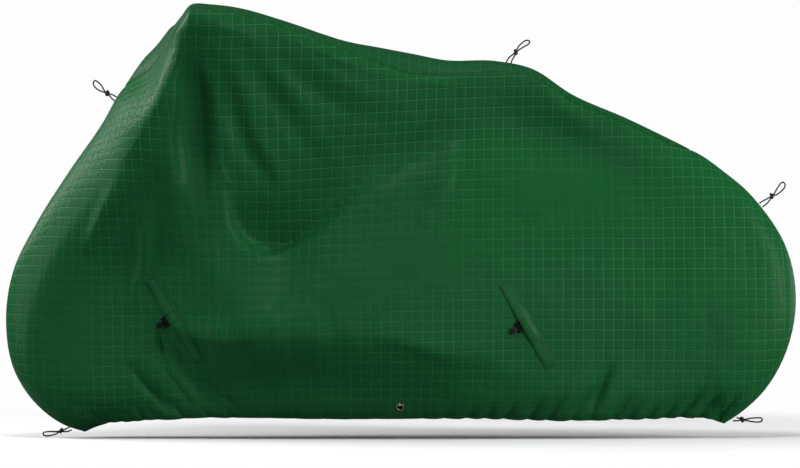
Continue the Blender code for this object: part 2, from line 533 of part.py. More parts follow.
def seated(route, tree):
    """The route with both ends brought to the cloth, so that the cord's flat ends clear it by a seam's gap."""
    ends = []
    for end, before in ((0, 1), (-1, -2)):
        start = Vector((route[before][0], -3 * SEAM_GAP, route[before][2]))
        towards = (Vector((route[end][0], start.y, route[end][2])) - start).normalized()
        hit, normal, _, _ = tree.ray_cast(start, towards)
        facing = abs(towards.dot(normal))
        back = (SEAM_GAP + CORD / 2 * np.sqrt(1 - facing**2)) / facing
        place = start + towards * ((hit - start).length - back)
        ends.append((place.x, route[end][1], place.z))
    return [ends[0], *route[1:-1], ends[1]]


def cord_loop(name, tree):
    """One elastic cord: out of the seam, through an overhand knot, round a drop-shaped loop and back."""
    curve = bpy.data.curves.new(name, "CURVE")
    curve.dimensions = "3D"
    curve.bevel_depth = CORD / 2
    curve.bevel_resolution = 2
    curve.use_fill_caps = True
    route = smooth_route(seated(LOOPS[name], tree), CORD_RINGS)
    spline = curve.splines.new("POLY")
    spline.points.add(len(route) - 1)
    for point, place in zip(spline.points, route):
        point.co = (*place, 1.0)
    guide = bpy.data.objects.new(f"guide_{name}", curve)
    CUTTERS.objects.link(guide)
    graph = bpy.context.evaluated_depsgraph_get()
    mesh = bpy.data.meshes.new_from_object(guide.evaluated_get(graph))
    bpy.data.objects.remove(guide)
    shape = bmesh.new()
    shape.from_mesh(mesh)
    bmesh.ops.remove_doubles(shape, verts=shape.verts, dist=1e-6)
    shape.to_mesh(mesh)
    shape.free()
    cord = finish(f"cord_loop_{name}", mesh, CORD_BLACK)

    x, z, slope = KNOTS[name]
    for lobe, (sign, thick) in KNOT_LOBES.items():
        reach = sign * (KNOT_LENGTH - KNOT_WIDTH) / 2
        radius = thick * KNOT_WIDTH / 2
        turned = np.radians(slope)
        centre = Vector((x + reach * np.cos(turned), 0.0, z + reach * np.sin(turned)))
        lobe_mesh = bpy.data.meshes.new(f"knot_{name}_{lobe}")
        shape = bmesh.new()
        bmesh.ops.create_uvsphere(shape, u_segments=8, v_segments=6, radius=radius)
        shape.to_mesh(lobe_mesh)
        shape.free()
        ball = bpy.data.objects.new(f"knot_{name}_{lobe}", lobe_mesh)
        ball.location = centre
        ball.hide_render = True
        ball.display_type = "WIRE"
        CUTTERS.objects.link(ball)
        join = cord.modifiers.new(f"knot {lobe}", "BOOLEAN")
        join.operation = "UNION"
        join.object = ball


# ---------------------------------------------------------------- the cover
for old in list(bpy.data.objects):
    bpy.data.objects.remove(old)
PARTS = bpy.data.collections.new("bicycle_cover")
CUTTERS = bpy.data.collections.new("cutters")
for collection in (PARTS, CUTTERS):
    bpy.context.scene.collection.children.link(collection)

CLOTH_GREEN = material("green_cloth", (0.012, 0.084, 0.026), 0.42)
GUSSET_GREEN = material("green_strip", (0.014, 0.092, 0.029), 0.42)
HEM_GREEN = material("green_hem", (0.010, 0.070, 0.022), 0.45)
FLAP_GREEN = material("green_flap", (0.012, 0.084, 0.026), 0.46)
WEBBING = material("black_webbing", (0.010, 0.010, 0.010), 0.85)
PLASTIC = material("black_plastic", (0.012, 0.012, 0.013), 0.40)
METAL = material("nickel", (0.62, 0.58, 0.48), 0.28, 1.0)
CORD_BLACK = material("black_elastic", (0.014, 0.014, 0.015), 0.60)

left_panel, left_band, left_grid, left_normals = side_pieces("left", False)
right_panel, right_band, right_grid, right_normals = side_pieces("right", True)
strip = gusset((left_grid, left_normals), (right_grid, right_normals))
bpy.context.view_layer.update()

all_cloth = faces_of(left_panel, right_panel, strip)
for side, y_sign, panel, band in (("left", -1, left_panel, left_band), ("right", 1, right_panel, right_band)):
    panel_faces = faces_of(panel)
    for which in FLAPS:
        strap(which, side, y_sign, panel_faces)
    eyelet(side, y_sign, band, faces_of(band))
for name in LOOPS:
    cord_loop(name, all_cloth)
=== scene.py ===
# %% [markdown]
# # A fitted bicycle cover
#
# The real cover is two side panels of coated ripstop cloth, cut to the outline of a bicycle and sewn
# together along the front and the rear edge. A tapered strip is let in between them along the top, an
# elastic hem closes the lower edge, and cord loops, strap flaps and eyelets are sewn or pressed in.
#
# The solids are already packed. This notebook dresses them: it builds each piece again as a fine surface
# in the same place, adds creases, stitches and weave, and sets up the light and the camera.

import bpy
import numpy as np
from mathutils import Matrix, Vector


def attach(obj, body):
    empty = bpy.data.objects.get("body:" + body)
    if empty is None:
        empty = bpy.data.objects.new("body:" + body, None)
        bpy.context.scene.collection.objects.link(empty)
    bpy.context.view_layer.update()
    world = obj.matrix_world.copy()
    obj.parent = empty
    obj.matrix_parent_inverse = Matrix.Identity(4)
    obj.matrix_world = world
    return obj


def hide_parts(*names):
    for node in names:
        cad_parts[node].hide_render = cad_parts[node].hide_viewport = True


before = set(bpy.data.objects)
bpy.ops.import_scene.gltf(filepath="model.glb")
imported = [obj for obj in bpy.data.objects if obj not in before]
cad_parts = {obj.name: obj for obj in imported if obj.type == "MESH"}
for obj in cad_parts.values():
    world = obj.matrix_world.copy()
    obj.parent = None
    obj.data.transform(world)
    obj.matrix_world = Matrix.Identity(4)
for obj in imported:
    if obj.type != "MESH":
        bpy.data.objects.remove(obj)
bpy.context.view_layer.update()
MM = 0.001

# %% [markdown]
# ## The camera
#
# The picture is taken from straight beside the cover, from far away, so that its outline hardly shows any
# perspective. A long lens 12 m away does the same. The lens follows from the width that has to fill the
# frame: sensor width times distance, divided by the width seen.

# %% Set up the camera
SEEN_WIDTH, CAMERA_AWAY = 1.96, 12.0
SEEN_CENTRE = (-0.282, -0.412)  # x, z in the middle of the picture

camera_data = bpy.data.cameras.new("camera")
camera_data.sensor_width = 36.0
camera_data.lens = camera_data.sensor_width * CAMERA_AWAY / SEEN_WIDTH
camera_data.clip_end = 100.0
camera = bpy.data.objects.new("camera", camera_data)
camera.location = (SEEN_CENTRE[0], -CAMERA_AWAY, SEEN_CENTRE[1])
camera.rotation_euler = (np.radians(90.0), 0.0, 0.0)
bpy.context.scene.collection.objects.link(camera)
bpy.context.scene.camera = camera
print("lens:", round(camera_data.lens, 1), "mm")

# %% [markdown]
# ## Putting arrays into a mesh
#
# Every new surface here is worked out as whole numpy arrays: a grid of points that depends on two
# numbers, and a table of faces. Blender takes such arrays fastest through foreach_set, which copies them
# in one go. The same helper gives each piece its material, names the body that it moves with, and hides
# the solids that it stands for.

# %% Mesh and piece helpers
PIECES = bpy.data.collections.new("pieces")
bpy.context.scene.collection.children.link(PIECES)
SHARP_ANGLE = 60.0  # edges that turn by more degrees than this stay sharp


def mesh_from(name, points, faces, across=None):
    """A smooth mesh from points (n, 3) and faces (m, 3 or 4). across (n, 2) becomes its UV map, in metres."""
    mesh = bpy.data.meshes.new(name)
    faces = np.ascontiguousarray(faces, np.int32)
    mesh.vertices.add(len(points))
    mesh.vertices.foreach_set("co", np.asarray(points, np.float32).ravel())
    mesh.loops.add(faces.size)
    mesh.loops.foreach_set("vertex_index", faces.ravel())
    mesh.polygons.add(len(faces))
    mesh.polygons.foreach_set("loop_start", np.arange(0, faces.size, faces.shape[1], dtype=np.int32))
    mesh.update(calc_edges=True)
    if across is not None:
        layer = mesh.uv_layers.new(name="UVMap")
        layer.data.foreach_set("uv", np.asarray(across, np.float32)[faces.ravel()].ravel())
    mesh.validate()
    mesh.shade_smooth()
    mesh.set_sharp_from_angle(angle=np.radians(SHARP_ANGLE))
    return mesh


def piece(name, mesh, surface, slot, *nodes):
    """Links a mesh as a piece of the cover that moves with its one body, and hides the solids it stands for.
    """
    made = bpy.data.objects.new(name, mesh)
    mesh.materials.append(surface)
    PIECES.objects.link(made)
    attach(made, "root")
    if nodes:
        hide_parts(*nodes)
    return made


def grid_faces(rows, columns, closed=False, ring=False):
    """Quads between neighbouring points of a grid whose points are numbered row by row.

    With closed, the last column joins the first one, as round a tube. With ring, so does the last row.
    """
    number = np.arange(rows * columns).reshape(rows, columns)
    if ring:
        number = np.concatenate([number, number[:1]])
    if closed:
        number = np.concatenate([number, number[:, :1]], axis=1)
    corners = [number[:-1, :-1], number[:-1, 1:], number[1:, 1:], number[1:, :-1]]
    return np.stack(corners, axis=-1).reshape(-1, 4)


def halved(quads):
    """Two triangles for each quad."""
    return np.concatenate([quads[:, [0, 1, 2]], quads[:, [0, 2, 3]]])


def joined(parts):
    """Several (points, faces, across) sets as one, with the faces renumbered."""
    starts = np.cumsum([0] + [len(part[0]) for part in parts[:-1]])
    points = np.concatenate([part[0] for part in parts])
    faces = np.concatenate([part[1] + start for part, start in zip(parts, starts)])
    return points, faces, np.concatenate([part[2] for part in parts])


# %% Helpers for lines and curves
def distance_along(points, axis=0):
    """Distance of each point from the first one of its line, measured over the points between.

    The lines run along this axis of the array.
    """
    steps = np.linalg.norm(np.diff(points, axis=axis), axis=-1)
    return np.insert(np.cumsum(steps, axis=axis), 0, 0.0, axis=axis)


def smooth(share):
    """0 below 0, 1 above 1 and a smooth step between: s^2 * (3 - 2 s)."""
    share = np.clip(share, 0.0, 1.0)
    return share * share * (3 - 2 * share)


def unit(vectors):
    """The vectors, each with length 1."""
    return vectors / np.maximum(np.linalg.norm(vectors, axis=-1, keepdims=True), 1e-12)


def cubic(low, low_slope, high, high_slope, share):
    """Point at this share of the way along a cubic with these ends and end slopes."""
    s2, s3 = share**2, share**3
    return (
        low * (2 * s3 - 3 * s2 + 1) + low_slope * (s3 - 2 * s2 + share)
        + high * (3 * s2 - 2 * s3) + high_slope * (s3 - s2)
    )


# %% [markdown]
# ## Building materials in code
#
# Every finish is a Principled shader whose colour, roughness and height come from a few procedural nodes.
# The helpers below add one node each, and join its inputs to other nodes or set them to plain numbers.

# %% Helpers that build shader nodes
def shader_node(tree, kind, links=(), **settings):
    """A node with settings, whose inputs named in links are joined to a socket or set to a value."""
    made = tree.nodes.new(kind)
    for name, value in settings.items():
        setattr(made, name, value)
    for name, value in dict(links).items():
        if isinstance(value, bpy.types.NodeSocket):
            tree.links.new(value, made.inputs[name])
        else:
            made.inputs[name].default_value = value
    return made


def maths(tree, operation, *values):
    """The result of a Math node on sockets or plain numbers."""
    return shader_node(tree, "ShaderNodeMath", dict(enumerate(values)), operation=operation).outputs[0]


def eased(tree, value, low, high):
    """0 below low, 1 above high and a smooth step between. low may be the larger one."""
    return shader_node(
        tree, "ShaderNodeMapRange", {"Value": value, "From Min": low, "From Max": high},
        interpolation_type="SMOOTHSTEP",
    ).outputs["Result"]


def noise(tree, where, scale, detail=2.0, roughness=0.5):
    """Smooth noise between 0 and 1 at a place. scale is the number of bumps in a metre."""
    return shader_node(
        tree, "ShaderNodeTexNoise",
        {"Vector": where, "Scale": scale, "Detail": detail, "Roughness": roughness},
    ).outputs["Fac"]


def mixed(tree, share, one, other):
    """A colour that goes from one to the other with share."""
    ends = [end if isinstance(end, bpy.types.NodeSocket) else (*end, 1.0) for end in (one, other)]
    links = {0: share, 6: ends[0], 7: ends[1]}
    return shader_node(tree, "ShaderNodeMix", links, data_type="RGBA").outputs[2]


def object_place(tree):
    """The place in the object's own space, in metres."""
    return shader_node(tree, "ShaderNodeTexCoord").outputs["Object"]


def flat_place(tree):
    """The place on the flat map, in metres."""
    return shader_node(tree, "ShaderNodeUVMap", uv_map="UVMap").outputs["UV"]


def new_group(name, inputs, outputs):
    """An empty node group. Returns its tree, its inputs and a function that joins a socket to an output."""
    tree = bpy.data.node_groups.new(name, "ShaderNodeTree")
    for socket, (kind, value) in inputs.items():
        made = tree.interface.new_socket(socket, in_out="INPUT", socket_type=f"NodeSocket{kind}")
        if value is not None:
            made.default_value = value
    for socket, kind in outputs.items():
        tree.interface.new_socket(socket, in_out="OUTPUT", socket_type=f"NodeSocket{kind}")
    given = tree.nodes.new("NodeGroupInput").outputs
    result = tree.nodes.new("NodeGroupOutput").inputs
    return tree, given, lambda name, socket: tree.links.new(socket, result[name])


def new_material(name, roughness, specular, **constants):
    """A material with a Principled shader. What is the same all over is set on the shader's own sockets."""
    made = bpy.data.materials.new(name)
    made.use_nodes = True
    shader = made.node_tree.nodes["Principled BSDF"]
    shader.inputs["Roughness"].default_value = roughness
    shader.inputs["Specular IOR Level"].default_value = specular
    for socket, value in constants.items():
        shader.inputs[socket.replace("_", " ")].default_value = value
    return made, made.node_tree, shader


def placed(tree, group, links):
    """The outputs of a node group placed in a material, with its inputs joined or set."""
    return shader_node(tree, "ShaderNodeGroup", links, node_tree=group).outputs


def finish(tree, shader, colour, roughness=None, height=None, strength=1.0):
    """Joins a colour, and where given a roughness and a height in metres, to a material's shader."""
    tree.links.new(colour, shader.inputs["Base Color"])
    if roughness is not None:
        tree.links.new(roughness, shader.inputs["Roughness"])
    if height is not None:
        bump = shader_node(tree, "ShaderNodeBump", {"Height": height, "Strength": strength, "Distance": 1.0})
        tree.links.new(bump.outputs["Normal"], shader.inputs["Normal"])


# %% [markdown]
# ## Black elastic cord and its knots
#
# Five short cords are held in the seam. Each leaves the cloth, is knotted with itself and ends in a
# drop-shaped loop. A cord is a tube carried along a smooth curve through a few listed points. Its
# braided sleeve is two sets of slanting threads that cross, and they follow the tube's own UV map: metres
# along it, and metres round it.

# %% The finish of braided elastic
BRAID_THREAD, BRAID_HEIGHT = 0.9 * MM, 0.12 * MM


def braid_group():
    """Height and thread mask of a braided sleeve: two sets of threads that wind round it in opposite ways."""
    tree, given, give = new_group(
        "braided sleeve", {"Vector": ("Vector", None), "Thread": ("Float", BRAID_THREAD)},
        {"Height": "Float", "Thread": "Float"},
    )
    along = shader_node(tree, "ShaderNodeSeparateXYZ", {"Vector": given["Vector"]}).outputs
    ridges = []
    for operation in ("ADD", "SUBTRACT"):
        slant = maths(tree, "DIVIDE", maths(tree, operation, along["X"], along["Y"]), given["Thread"])
        ridges.append(maths(tree, "ABSOLUTE", maths(tree, "SINE", maths(tree, "MULTIPLY", slant, np.pi))))
    higher = maths(tree, "MAXIMUM", *ridges)
    give("Height", maths(tree, "MULTIPLY", higher, BRAID_HEIGHT))
    give("Thread", higher)
    return tree


cord_black, tree, shader = new_material("black elastic", 0.62, 0.35)
braid = placed(tree, braid_group(), {"Vector": flat_place(tree)})
cord_colour = mixed(tree, braid["Thread"], (0.0025, 0.0025, 0.003), (0.011, 0.011, 0.012))
finish(tree, shader, cord_colour, height=braid["Height"], strength=0.8)
print("finish:", cord_black.name)

# %% The routes of the cords
CORD = 3.7 * MM
# x, y, z along the middle of each cord, in metres, from one end in the seam to the other
LOOPS = {
    "front_top": (
        (-0.974, 0.0, -0.078), (-0.986, -0.001, -0.071), (-0.995, -0.0022, -0.068), (-1.004, -0.0022, -0.063),
        (-1.013, -0.001, -0.049), (-1.023, 0.0, -0.039), (-1.029, 0.0, -0.036), (-1.033, 0.0, -0.040),
        (-1.032, 0.0, -0.048), (-1.021, 0.0, -0.059), (-1.012, 0.001, -0.063), (-1.003, 0.0022, -0.066),
        (-0.995, 0.0022, -0.072), (-0.988, 0.001, -0.080), (-0.979, 0.0, -0.087),
    ),
    "saddle": (
        (-0.0215, 0.0, 0.007), (-0.019, -0.001, 0.014), (-0.013, -0.001, 0.022), (-0.004, -0.0022, 0.029),
        (0.002, -0.0022, 0.036), (0.008, -0.001, 0.047), (0.017, 0.0, 0.056), (0.026, 0.0, 0.062),
        (0.032, 0.0, 0.0625), (0.036, 0.0, 0.059), (0.034, 0.0, 0.055), (0.022, 0.001, 0.047),
        (0.007, 0.0022, 0.037), (0.001, 0.0022, 0.030), (-0.003, 0.001, 0.021), (-0.008, 0.001, 0.013),
        (-0.010, 0.0, 0.006),
    ),
    "rear_top": (
        (0.598, 0.0, -0.337), (0.609, -0.001, -0.330), (0.622, -0.0022, -0.323), (0.631, -0.0022, -0.317),
        (0.643, -0.001, -0.299), (0.652, 0.0, -0.287), (0.656, 0.0, -0.285), (0.661, 0.0, -0.289),
        (0.660, 0.0, -0.298), (0.651, 0.0, -0.308), (0.642, 0.001, -0.315), (0.632, 0.0022, -0.319),
        (0.626, 0.0022, -0.326), (0.619, 0.001, -0.335), (0.606, 0.0, -0.346),
    ),
    "front_hem": (
        (-1.090, 0.0, -0.884), (-1.100, -0.001, -0.889), (-1.108, -0.0022, -0.893), (-1.116, -0.0022, -0.895),
        (-1.128, -0.001, -0.896), (-1.150, 0.0, -0.897), (-1.156, 0.0, -0.899), (-1.155, 0.0, -0.904),
        (-1.149, 0.0, -0.9065), (-1.138, 0.0, -0.9055), (-1.126, 0.001, -0.902), (-1.116, 0.0022, -0.897),
        (-1.108, 0.0022, -0.896), (-1.098, 0.001, -0.896), (-1.086, 0.0, -0.892),
    ),
    "rear_hem": (
        (0.5425, 0.0, -0.861), (0.549, -0.001, -0.864), (0.555, -0.0022, -0.866), (0.562, -0.0022, -0.866),
        (0.580, -0.001, -0.863), (0.596, 0.0, -0.8625), (0.603, 0.0, -0.863), (0.6055, 0.0, -0.866),
        (0.603, 0.0, -0.871), (0.597, 0.0, -0.8725), (0.580, 0.0, -0.8715), (0.569, 0.001, -0.8695),
        (0.561, 0.0022, -0.868), (0.554, 0.0022, -0.868), (0.545, 0.001, -0.8695), (0.534, 0.0, -0.8695),
    ),
}
KNOTS = {  # x, z of the middle, and the slope of the knot's long axis in degrees
    "front_top": (-0.999, -0.067, 66),
    "saddle": (0.0015, 0.0335, 98),
    "rear_top": (0.6285, -0.319, 100),
    "front_hem": (-1.1125, -0.894, 50),
    "rear_hem": (0.5565, -0.8665, 106),
}
KNOT_LONG, KNOT_THICK = 19 * MM, 10.5 * MM
ROUTE_POINTS, CORD_SIDES = 90, 14


def smooth_route(points, count):
    """Evenly spread points on a smooth curve through given ones.

    Between two points the curve is a cubic, whose slope at each point leads from the point before to the one
    after.
    """
    points = np.array(points, float)
    knots = distance_along(points)
    slope = np.gradient(points, knots, axis=0)
    at = np.linspace(0.0, knots[-1], count)
    low = np.clip(np.searchsorted(knots, at, side="right") - 1, 0, len(points) - 2)
    step = (knots[low + 1] - knots[low])[:, None]
    share = (at - knots[low])[:, None] / step
    return cubic(points[low], slope[low] * step, points[low + 1], slope[low + 1] * step, share)


def tube(route, radius, sides):
    """A tube round a route: each ring is centre + radius * (cos a * side + sin a * other side).

    The side directions turn as little as possible from ring to ring, and a point closes each end. Returns
    points, triangles and a UV map of metres along and metres round.
    """
    ahead = unit(np.gradient(route, axis=0))
    side = np.zeros_like(route)
    direction = np.array((0.0, 1.0, 0.0))
    for ring, way in enumerate(ahead):
        direction = unit(direction - way * direction.dot(way))
        side[ring] = direction
    angle = np.linspace(0.0, 2 * np.pi, sides, endpoint=False)[None, :, None]
    rings = route[:, None] + radius * (
        np.cos(angle) * side[:, None] + np.sin(angle) * np.cross(ahead, side)[:, None]
    )
    along = distance_along(route)
    across = np.stack(np.broadcast_arrays(along[:, None], angle[..., 0] * radius), axis=-1)
    last = len(route) * sides
    ring = np.arange(sides)
    after = np.roll(ring, -1)
    start_cap = np.stack([ring, np.full(sides, last), after], axis=-1)
    end_cap = np.stack([ring, after, np.full(sides, last + 1)], axis=-1)
    end_cap[:, :2] += last - sides
    faces = np.concatenate([halved(grid_faces(len(route), sides, closed=True)), start_cap, end_cap])
    points = np.concatenate([rings.reshape(-1, 3), route[:1], route[-1:]])
    across = np.concatenate([across.reshape(-1, 2), [[along[0], 0.0], [along[-1], 0.0]]])
    return points, outwards(points, faces), across


def outwards(points, faces):
    """The same closed faces, turned round if they enclose a negative volume."""
    corners = points[faces]
    volume = np.einsum("ij,ij->i", corners[:, 0], np.cross(corners[:, 1], corners[:, 2])).sum()
    return faces[:, ::-1] if volume < 0 else faces


# %% [markdown]
# A knot in so short a cord shows as a small bundle of turns round both of its legs. Its path is a coil:
# the angle grows along it, the radius shrinks at both ends so that they tuck in, and the coil swells into
# two lobes.

# %% Make the cords and the knots
KNOT_TURNS, KNOT_STRAND = 4.25, 0.44 * CORD  # turns of the coil, and radius of its strand
KNOT_POINTS, KNOT_SIDES = 110, 10
LOBE_WAIST = 0.74  # radius between the two lobes, as a share of the widest
TUCK_LENGTH, TUCK_RADIUS = 0.06, 0.35  # the coil's ends shrink over this share of its length to this radius


def knot_path(name):
    """A coil round the knot's long axis: centre + axis * travel + radius * (cos, sin), in two lobes."""
    x, z, slope = KNOTS[name]
    c, s = np.cos(np.radians(slope)), np.sin(np.radians(slope))
    axis, sideways, deep = np.array([(c, 0.0, s), (-s, 0.0, c), (0.0, 1.0, 0.0)])
    share = np.linspace(0.0, 1.0, KNOT_POINTS)[:, None]
    travel = (share - 0.5) * (KNOT_LONG - 1.6 * CORD)
    lobes = LOBE_WAIST + (1 - LOBE_WAIST) * np.abs(np.sin(2 * np.pi * share))
    tuck = np.clip(np.minimum(share, 1 - share) / TUCK_LENGTH, 0.0, 1.0)
    radius = (KNOT_THICK - CORD) / 2 * lobes * (TUCK_RADIUS + (1 - TUCK_RADIUS) * tuck)
    angle = 2 * np.pi * KNOT_TURNS * share
    return np.array([x, 0.0, z]) + travel * axis + radius * (np.cos(angle) * sideways + np.sin(angle) * deep)


for name, points in LOOPS.items():
    route = smooth_route(points, ROUTE_POINTS)
    cord_mesh = mesh_from(f"elastic_cord_{name}", *tube(route, CORD / 2, CORD_SIDES))
    cord = piece(f"elastic_cord_{name}", cord_mesh, cord_black, "cord", f"cord_loop_{name}")
    knot_mesh = mesh_from(f"knot_{name}", *tube(knot_path(name), KNOT_STRAND, KNOT_SIDES))
    knot = piece(f"knot_{name}", knot_mesh, cord_black, "cord")

# %% [markdown]
# ## The shape of the cloth
#
# A cover hangs over what it covers: it is tight where the handlebar, the saddle and the wheels push it
# out, and falls in between. It is described here by hoops. Each hoop starts on the top edge of a side
# panel, runs down the side and ends at the hem, and the hoops fan round both wheels. One row of the table
# gives a few widths of one hoop, and smooth curves join the rows. The solids use the same table of hoops,
# so both have the same main shape. Here it is only sampled far more finely, and its folds are fitted more
# closely to the photograph.

# %% The table of hoops
CLOTH = 2.0 * MM  # thickness of the sheets
SEAM_GAP = 0.3 * MM  # between two pieces that are sewn together
HEM_BAND = 50.0 * MM  # height of the strip that holds the elastic and the eyelets
HEM_LEAST, HEM_SHARE = 3.0 * MM, 0.18  # at its two ends it is this high and this share of the hoop's length
HEM_CURL = 0.36  # how far out the band's top edge stands, as a share of the belly over the hem

# One row for each hoop, from the front end of the hem to its rear end, in millimetres, degrees and shares.
#   seam     x, z, half-width of the side panel's top edge
#   spine    height of the centre line above that edge, and of the strip at 3/4 of its half-width
#   roll     angle at which the panel leaves its top edge: 90 goes straight out sideways, 0 straight down
#   shoulder, waist, belly    share of the way down to the hem, and half-width there
#   hem      x, z, half-width of the lower edge
HOOPS = (
    # seam              spine     roll  shoulder     waist        belly        hem
    ((-1055, -897, 0),   (0, 0),    90, (0.2, 10),    (0.36, 14),  (0.52, 16),  (-1029, -885, 16)),
    ((-1110, -877, 0),   (0, 0),    90, (0.3, 26),    (0.5, 32),   (0.75, 34),  (-1016, -882, 28)),
    ((-1178, -823, 0),   (0, 0),    90, (0.2, 46),    (0.42, 56),  (0.72, 58),  (-993, -878, 42)),
    ((-1225, -750, 0),   (0, 0),    90, (0.16, 58),   (0.4, 68),   (0.72, 72),  (-965, -875, 54)),
    ((-1247, -627, 0),   (0, 0),    90, (0.15, 66),   (0.38, 78),  (0.7, 86),   (-929, -871, 62)),
    ((-1230, -505, 0),   (0, 0),    90, (0.16, 76),   (0.4, 86),   (0.7, 92),   (-896, -867, 68)),
    ((-1171, -383, 0),   (0, 0),    90, (0.15, 94),   (0.42, 96),  (0.72, 98),  (-862, -866, 74)),
    ((-1093, -260, 0),   (0, 0),    90, (0.15, 122),  (0.46, 106), (0.74, 104), (-828, -865, 80)),
    ((-1009, -138, 0),   (0, 0),    90, (0.155, 164), (0.5, 118),  (0.76, 110), (-793, -863, 84)),
    ((-965, -61, 0),     (0, 0),    80, (0.14, 192),  (0.52, 128), (0.77, 116), (-769, -862, 86)),
    ((-890, -8, 86),     (40, 21),  64, (0.125, 226), (0.54, 136), (0.78, 122), (-750, -862, 88)),
    ((-842, 51, 178),    (39, 20),  52, (0.11, 252),  (0.55, 144), (0.78, 130), (-733, -862, 90)),
    ((-807, 102, 252),   (-3, 13),  40, (0.06, 276),  (0.54, 150), (0.78, 140), (-718, -863, 91)),
    ((-779, 129, 288),   (-26, 13), 34, (0.04, 292),  (0.53, 152), (0.78, 150), (-703, -864, 92)),
    ((-736, 128, 280),   (-30, 13), 30, (0.04, 284),  (0.54, 146), (0.78, 158), (-685, -864, 94)),
    ((-679, 122, 254),   (-28, 13), 28, (0.04, 258),  (0.55, 134), (0.77, 168), (-657, -864, 96)),
    ((-566, 91, 206),    (-15, 14), 28, (0.03, 212),  (0.54, 116), (0.76, 180), (-574, -865, 100)),
    ((-451, 51, 168),    (12, 15),  28, (0.03, 174),  (0.42, 114), (0.74, 188), (-476, -866, 104)),
    ((-347, 9, 136),     (38, 24),  30, (0.03, 143),  (0.33, 112), (0.72, 190), (-379, -866, 106)),
    ((-260, -19, 113),   (50, 33),  32, (0.03, 120),  (0.25, 108), (0.72, 186), (-282, -866, 106)),
    ((-172, -23, 99),    (37, 25),  32, (0.03, 104),  (0.19, 100), (0.72, 176), (-185, -866, 104)),
    ((-49, -15, 89),     (27, 17),  34, (0.02, 93),   (0.15, 85),  (0.7, 156),  (-76, -866, 98)),
    ((35, -25, 84),      (20, 12),  34, (0.02, 88),   (0.12, 77),  (0.68, 138), (-2, -866, 93)),
    ((140, -86, 66),     (15, 9),   38, (0.03, 72),   (0.12, 71),  (0.65, 122), (71, -867, 86)),
    ((270, -140, 54),    (12, 8),   44, (0.04, 62),   (0.15, 69),  (0.65, 106), (156, -867, 78)),
    ((395, -195, 28),    (7, 4),    64, (0.07, 54),   (0.28, 72),  (0.65, 92),  (235, -865, 68)),
    ((440, -210, 0),     (0, 0),    90, (0.07, 50),   (0.3, 72),   (0.65, 88),  (261, -865, 64)),
    ((517, -263, 0),     (0, 0),    90, (0.05, 46),   (0.3, 74),   (0.65, 84),  (309, -864, 56)),
    ((563, -301, 0),     (0, 0),    90, (0.052, 45),  (0.3, 73),   (0.65, 81),  (334, -864, 52)),
    ((605, -348, 0),     (0, 0),    90, (0.055, 44),  (0.3, 72),   (0.65, 78),  (357, -864, 48)),
    ((664, -444, 0),     (0, 0),    90, (0.06, 42),   (0.3, 70),   (0.65, 74),  (397, -864, 42)),
    ((688, -573, 0),     (0, 0),    90, (0.08, 40),   (0.35, 64),  (0.7, 64),   (428, -865, 36)),
    ((664, -701, 0),     (0, 0),    90, (0.12, 36),   (0.4, 54),   (0.7, 50),   (454, -866, 31)),
    ((608, -799, 0),     (0, 0),    90, (0.2, 28),    (0.45, 40),  (0.75, 34),  (471, -868, 25)),
    ((556, -848, 0),     (0, 0),    90, (0.26, 20),   (0.45, 25),  (0.66, 25),  (481, -869, 20)),
    ((514, -877, 0),     (0, 0),    90, (0.2, 10),    (0.36, 14),  (0.52, 16),  (488, -870, 16)),
)
GUSSET_FROM, GUSSET_TO = 9.1, 25.75  # hoop numbers between which the strip on top has a width
print("hoops:", len(HOOPS))

# %% [markdown]
# The main folds are troughs and ridges along curved lines. Across its line each one has the shape of a
# bell, and it may reach further to one side than to the other, which makes one flank steep and the other
# soft.

# %% The table of main folds
# start, middle and end of the line in x, z; depth (negative: a ridge); reach above and below the line; in mm
FOLDS = (
    # name            start         middle        end          depth above below
    ("tongue", (-690, -310), (-636, -570), (-395, -285), 30, 100, 22),
    ("tongue_tail", (-460, -352), (-360, -280), (-200, -205), 8, 90, 40),
    ("saddle_waist", (-330, -274), (-231, -180), (-122, -156), 9, 50, 40),
    ("grip_fold_1", (-713, -7), (-677, -132), (-605, -291), 11, 30, 34),
    ("grip_ridge_1", (-691, -7), (-650, -142), (-552, -320), -6, 26, 26),
    ("grip_fold_2", (-649, 18), (-588, -118), (-480, -233), 7, 28, 30),
    ("grip_ridge_2", (-615, 37), (-531, -103), (-427, -228), -3, 28, 28),
    ("grip_fold_3", (-562, -1), (-478, -88), (-349, -136), 4, 26, 28),
    ("grip_ridge_3", (-529, 33), (-422, -49), (-291, -97), -3, 22, 22),
    ("grip_arris", (-817, 72), (-821, -37), (-909, -156), -12, 24, 26),
    ("grip_hollow", (-785, 23), (-770, -156), (-785, -393), 14, 40, 40),
    ("fork_ridge_1", (-953, -274), (-998, -363), (-1042, -443), -10, 22, 22),
    ("fork_ridge_2", (-889, -354), (-899, -453), (-919, -581), -10, 24, 24),
    ("belly_shelf", (-834, -690), (-600, -622), (-330, -655), -8, 60, 80),
    ("belly_crease", (-854, -690), (-795, -759), (-740, -824), 10, 22, 22),
    ("front_gather", (-933, -740), (-894, -789), (-844, -829), 8, 18, 18),
    ("rear_gather", (225, -745), (195, -809), (175, -857), 9, 20, 20),
    ("seat_tube_ridge", (-146, -205), (-191, -294), (-216, -373), -7, 26, 26),
    ("rear_ridge", (329, -537), (306, -601), (299, -660), -4, 30, 30),
    ("rear_trough", (512, -344), (557, -433), (591, -512), 3, 30, 30),
)
FAR_SIDE_SHIFT, FAR_SIDE_DEPTH = (-24.0 * MM, 18.0 * MM), 0.85  # the right side hangs alike, a little apart
FOLD_FREE = 30.0 * MM  # folds fade out over this distance from the top edge
FOLD_STEPS = 32  # points along a fold's line
FOLD_SPREAD = 0.6  # standard deviation of a trough's bell shape, as a share of its reach
